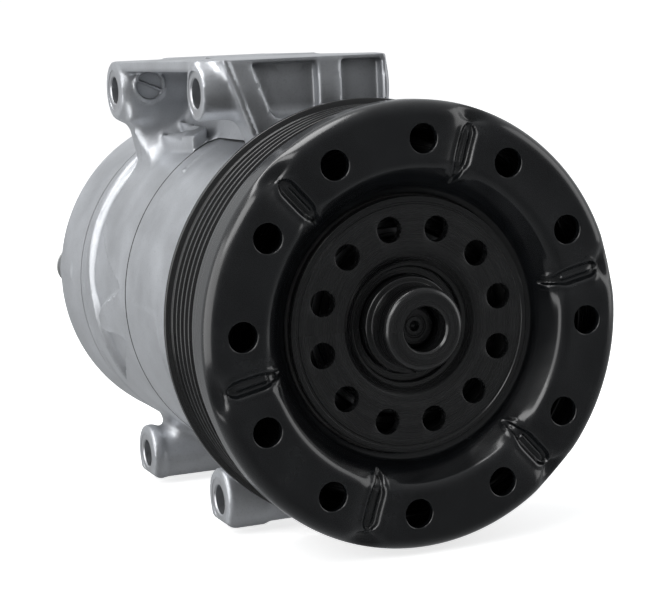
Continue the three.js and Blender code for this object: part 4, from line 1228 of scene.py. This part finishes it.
def shaft_group():
    tip, stop, black_end = SHAFT_TIP, SHAFT_END, 14
    shaft = lathe("drive_shaft_ground", [
        (0, tip + 2.4), (0.9, tip + 1.4, 0), (1.5, tip + 0.2, 0.2), (2.6, tip + 0.2, 0.1),
        (2.8, tip + 0.45, 0.1), (3.2, tip + 0.45, 0.1), (3.4, tip, 0.1), (5.1, tip, 0.3),
        (6.0, tip + 0.9, 0.2), (6.0, 25.3, 0.3), (7.5, 25.3, 0.4), (7.5, stop - 1, 0.4), (6.6, stop, 0.2),
        (1.6, stop, 0.2), (0, stop - 2)],
        [STEEL, TURNED_COAT], 96)
    black = [p.center.y <= ORIGIN[1] + black_end * MM for p in shaft.data.polygons]
    shaft.data.polygons.foreach_set("material_index", np.array(black, int))
    ride(shaft, "shaft", "steel", "drive_shaft")

    hinge_y = HINGE[1]
    front, rear = 58.0, 66.0
    plate = lathe("lug_plate_turned", [
        (7.8, front, 0.4), (41, front, 0.8), (41, rear, 0.8), (24, rear, 1.5), (22, rear - 1, 1.0),
        (14, rear - 1, 1.0), (12.6, rear, 0.8), (7.8, rear, 0.4)], [DARK_STEEL])
    arms = [box_piece("arm", (a, rear - 1, HINGE_ARM[0]), (b, hinge_y + 5, HINGE_ARM[1]), 1.0)
            for a, b in ((-9.4, -4.8), (4.8, 9.4))]
    weight = box_piece("weight", (-18, rear - 1, -36), (18, rear + 5, -18), 1.2)
    combine(plate, arms + [weight], "UNION")
    combine(plate, [cutter(2.9, -12, 12, HINGE, "x", 40)])
    ride(plate, "shaft", "dark_steel", "lug_plate")

    front, rear = SWASH_MIDDLE - SWASH_HALF, SWASH_MIDDLE + SWASH_HALF
    swash = lathe("swash_plate_coated", [
        (8.4, front - 4, 0.5), (16, front - 4, 0.8), (16, front, 0.8), (SWASH_RADIUS, front, 0.5),
        (SWASH_RADIUS, rear, 0.5), (16, rear, 0.8), (16, rear + 3, 0.8), (8.4, rear + 3, 0.5)], [BRONZE])
    arm = box_piece("arm", (-4.4, hinge_y - 5, HINGE_ARM[0]), (4.4, front + 1, HINGE_ARM[1]), 0.8)
    combine(swash, [arm], "UNION")
    combine(swash, [cutter(2.9, -6, 6, HINGE, "x", 40)])
    ride(swash, "shaft", "bronze", "swash_plate")

    outline = [(0, -9.2), (2.6, -9.2, 0.5), (2.6, 9.2, 0.5), (0, 9.2)]
    pin = rod("hinge_pin_ground", outline, HINGE, "x", [STEEL], 48)
    ride(pin, "shaft", "steel", "hinge_pin")
    return_spring()


def return_spring():
    """A compression spring with closed ends, swept along its own helix."""
    wire, coil, turns, around_wire, steps = 0.9, 10.6, 3.0, 16, 180
    front, rear = ends("return_spring")
    first, last = front + wire, rear - wire
    t = np.linspace(0, 1, steps + 1)
    angle = 2 * math.pi * turns * t
    y = first + (last - first) * t
    centre = np.stack([coil * np.cos(angle), y, coil * np.sin(angle)], -1)
    forward = np.gradient(centre, axis=0)
    forward /= np.linalg.norm(forward, axis=1)[:, None]
    outward = np.stack([np.cos(angle), np.zeros_like(t), np.sin(angle)], -1)
    upward = np.cross(forward, outward)
    turn = np.arange(around_wire) * 2 * math.pi / around_wire
    tube = (centre[:, None] + wire * (np.cos(turn)[None, :, None] * outward[:, None]
                                      + np.sin(turn)[None, :, None] * upward[:, None]))
    points = np.concatenate([tube.reshape(-1, 3), centre[:1], centre[-1:]])
    index = np.arange((steps + 1) * around_wire).reshape(steps + 1, around_wire)
    after = np.roll(index, -1, 1)
    quads = np.stack([index[:-1], after[:-1], after[1:], index[1:]], -1).reshape(-1, 4)
    caps = [np.stack([np.full(around_wire, len(points) - 2), after[0], index[0]], -1),
            np.stack([np.full(around_wire, len(points) - 1), index[-1], after[-1]], -1)]
    spring = tidy(mesh_object("return_spring_wound", points, [quads, np.concatenate(caps)], [ZINC]), 60)
    ride(spring, "shaft", "steel", "return_spring")


# ---------------------------------------------------------------- pistons and shoes
def turned_round(piece, degrees):
    """Turns a piece made on the +X side round the shaft to another cylinder."""
    centre = Matrix.Translation(Vector(ORIGIN))
    piece.data.transform(centre @ Matrix.Rotation(-math.radians(degrees), 4, "Y") @ centre.inverted())
    return piece


def shoe_profile(radius, flat, side):
    """The cap of a ball centred on the swash plate, from its flat to its top."""
    rim = math.acos(abs(flat - SWASH_MIDDLE) / radius)
    turns = np.linspace(rim, 0, 14)
    arc = [(radius * math.sin(a), SWASH_MIDDLE + side * radius * math.cos(a)) for a in turns]
    return [(0, flat)] + arc[:-1] + [(0, arc[-1][1])]


def pistons_and_shoes():
    foot, throat, crown, top = SWASH_MIDDLE - 14.5, 6.5, FRONT_SEAM + 0.4, 152.0
    radius, groove = 14.3, 13.7
    place = (CYLINDER_CIRCLE, 0, 0)
    profile = [(0, crown - 0.5), (radius, crown - 0.5, 0.6)]
    for edge in (9, 5.4):
        profile += [(radius, top - edge, 0.1), (groove, top - edge, 0.1), (groove, top - edge + 1.4, 0.1),
                    (radius, top - edge + 1.4, 0.1)]
    profile += [(radius, top, 0.7), (0, top)]
    for number, degrees in enumerate(CYLINDER_ANGLES, 1):
        piston = rod("piston_%d_turned" % number, profile, place, "y", [TURNED], 96)
        neck = box_piece("neck", (SWASH_RADIUS + 0.6, foot, -7), (SWASH_RADIUS + 6.4, crown, 7), 1.2)
        jaws = [box_piece("jaw", (24.5, start, -8), (SWASH_RADIUS + 1.2, stop, 8), 1.0)
                for start, stop in ((SWASH_MIDDLE + throat, crown), (foot, SWASH_MIDDLE - throat))]
        combine(piston, [neck] + jaws, "UNION")
        combine(piston, [rod("tool", ball_profile(9.3, SWASH_MIDDLE, 40), place, "y", [], 64)])
        ride(turned_round(piston, degrees), "housing", "turned_aluminium", "piston_%d" % number)
        for side, label in ((-1, "front"), (1, "rear")):
            outline = shoe_profile(8.8, SWASH_MIDDLE + side * (SWASH_HALF + 0.25), side)
            shoe = rod("%s_shoe_%d_ground" % (label, number), outline, place, "y", [STEEL], 48)
            ride(turned_round(shoe, degrees), "housing", "steel", "%s_shoe_%d" % (label, number))


# ---------------------------------------------------------------- valves
def control_valve():
    profile = [(0, 24), (5.5, 24, 0.4), (5.5, 26, 0.3), (7.6, 26, 0.3)]
    for groove in range(3):
        x = 29 + groove * 5
        profile += [(7.8, x, 0.1), (7.8, x + 0.2, 0.1), (6.8, x + 0.2, 0.3), (6.8, x + 2, 0.3),
                    (7.8, x + 2, 0.1)]
    profile += [(7.8, 43.8, 0.2), (6.6, 44, 0.2), (6.6, 56.9, 0.3), (11, 56.9, 0.5), (11, 61.8, 0.6),
                (9.6, 62.2, 0.3), (4, 62.2, 0.5), (3.6, 61.4, 0.3), (0, 61.4)]
    valve = rod("control_valve_turned", profile, (0, VALVE_Y, VALVE_HEIGHT), "x", [ZINC], 96)
    ride(valve, "housing", "steel", "control_valve")


def valve_connector():
    low, high = span("valve_connector")
    rear = high[1]
    shell = box_piece("valve_connector_moulded", low, high, 1.1, [PLASTIC])
    ribs = [box_piece("rib", (low[0] + 1.5, y, low[2]), (high[0] - 1.5, y + 1.2, high[2]), 0.3)
            for y in (rear - 3.6, rear - 6.6)]
    latch = box_piece("latch", (high[0] - 1.0, rear - 8, -19), (high[0], rear - 4, -13), 0.4)
    combine(shell, ribs + [latch], "UNION")
    socket = box_piece("tool", (low[0] + 1.3, rear - 10, low[2] + 2), (high[0] - 1.2, rear + 1, high[2] - 2))
    combine(shell, [socket])
    pins = [box_piece("pin", (low[0] + 3.4, rear - 10.5, z), (low[0] + 4.2, rear - 4, z + 1.6), 0.2)
            for z in (-19.0, -14.6)]
    combine(shell, pins, "UNION")
    ride(shell, "housing", "black_plastic", "valve_connector")


def relief_valve():
    start, stop = ends("relief_valve")
    place, flange = (RELIEF[0], 0, RELIEF[1]), 186.35
    profile = [(0, start), (4.6, start, 0.3)] + thread_profile(start + 1, 3, 1.2, 0.6, 5.0, 4.5) + [
        (5.0, 186.3, 0.1), (8.0, 186.4, 0.3), (8.0, 191.4, 0.6), (4.6, 191.6, 0.4), (4.6, stop - 0.6, 0.4),
        (3.6, stop, 0.3), (1.2, stop, 0.2), (1.0, stop - 2, 0.1), (0, stop - 2)]
    valve = rod("relief_valve_turned", profile, place, "y", [ZINC], 60)
    hexagon = cutter(8.2, flange, stop + 1, place, segments=6, sharp=20)
    combine(hexagon, [bore(9, 170, flange + 0.01, RELIEF, 24)], "UNION")
    combine(valve, [hexagon], "INTERSECT", 32)
    ride(valve, "housing", "steel", "relief_valve")


for build in (front_plate, belt_pulley, hub_disc, hub, front_housing, cylinder_block, rear_housing,
              valve_stack,
              through_bolts, bearing_and_seals, shaft_group, pistons_and_shoes, control_valve,
              valve_connector,
              relief_valve):
    build()

# ---------------------------------------------------------------- studio
FLOOR_REACH = 8.0


def pale_floor():
    look = Surface("studio_floor", (0.86, 0.86, 0.86), 0.7, 0.0)
    cloud = look.noise(look.position(), 3, 2)
    look.give("Base Color", look.mix(cloud, (0.85, 0.85, 0.85), (0.87, 0.87, 0.87)))
    look.give("Emission Color", (1, 1, 1))
    look.give("Emission Strength", 0.72)
    mesh = bpy.data.meshes.new("studio_floor")
    work = bmesh.new()
    bmesh.ops.create_grid(work, x_segments=8, y_segments=8, size=FLOOR_REACH)
    work.to_mesh(mesh)
    work.free()
    mesh.materials.append(look.material)
    floor = bpy.data.objects.new("studio_floor", mesh)
    floor.location.z = CAD_BOX[0].z - 0.0002
    floor.visible_glossy = False
    bpy.context.scene.collection.objects.link(floor)


def softbox(name, place, target, width, height, power):
    light = bpy.data.lights.new(name, "AREA")
    light.shape = "RECTANGLE"
    light.size, light.size_y = width, height
    light.energy = power
    lamp = bpy.data.objects.new(name, light)
    lamp.location = place
    lamp.rotation_mode = "QUATERNION"
    lamp.rotation_quaternion = (Vector(target) - Vector(place)).to_track_quat("-Z", "Y")
    bpy.context.scene.collection.objects.link(lamp)


def world():
    """A soft studio: pale behind, dim in front and below, so that gloss has something to show."""
    studio = bpy.data.worlds.new("studio")
    studio.use_nodes = True
    graph = Graph(studio.node_tree)
    split = graph.new("ShaderNodeSeparateXYZ")
    graph.link(graph.new("ShaderNodeTexCoord").outputs["Generated"], split.inputs[0])
    behind = graph.remap(split.outputs["Y"], 0.26, 1.0, -0.9, 0.5)
    above = graph.remap(split.outputs["Z"], 0.6, 1.0, -0.5, 0.3)
    room = graph.nodes["Background"]
    graph.set(room.inputs["Color"], (0.96, 0.98, 1.0))
    graph.set(room.inputs["Strength"], graph.math("MULTIPLY", graph.math("MULTIPLY", behind, above), 0.58))
    backdrop = graph.new("ShaderNodeBackground")
    graph.set(backdrop.inputs["Color"], (1.05, 1.05, 1.05))
    seen = graph.new("ShaderNodeLightPath").outputs["Is Camera Ray"]
    mix = graph.new("ShaderNodeMixShader")
    for value, socket in zip((seen, room.outputs[0], backdrop.outputs[0]), mix.inputs):
        graph.link(value, socket)
    graph.link(mix.outputs[0], graph.nodes["World Output"].inputs["Surface"])
    bpy.context.scene.world = studio


def camera():
    """The photographed viewing angle: from the front left, slightly above, with a slight roll."""
    data = bpy.data.cameras.new("camera")
    data.sensor_width = 36.0
    data.lens = 100.13
    data.clip_start, data.clip_end = 0.01, 20
    right = Vector((0.92208, -0.38477, -0.04146))
    down = Vector((-0.09202, -0.11394, -0.98922))
    ahead = Vector((0.37590, 0.91595, -0.14047))
    turn = Matrix((right, -down, -ahead)).transposed()
    eye = bpy.data.objects.new("camera", data)
    place = to_frame([(-214.4, -459.4, 80.8)])[0]
    eye.matrix_world = Matrix.Translation(Vector(place)) @ turn.to_4x4()
    bpy.context.scene.collection.objects.link(eye)
    bpy.context.scene.camera = eye


pale_floor()
world()
camera()
TARGET = (0, 0, ORIGIN[2])
softbox("key_left", (-1.45, -0.1, 0.25), TARGET, 1.7, 1.3, 11)
softbox("key_front", (-0.9, -0.55, 0.9), TARGET, 0.8, 0.6, 4.5)
softbox("top", (-0.4, 0.15, 1.3), TARGET, 0.9, 0.9, 11)
softbox("fill_right", (1.3, -0.5, 0.4), TARGET, 0.8, 1.2, 3)
bpy.context.scene.view_settings.view_transform = "Standard"
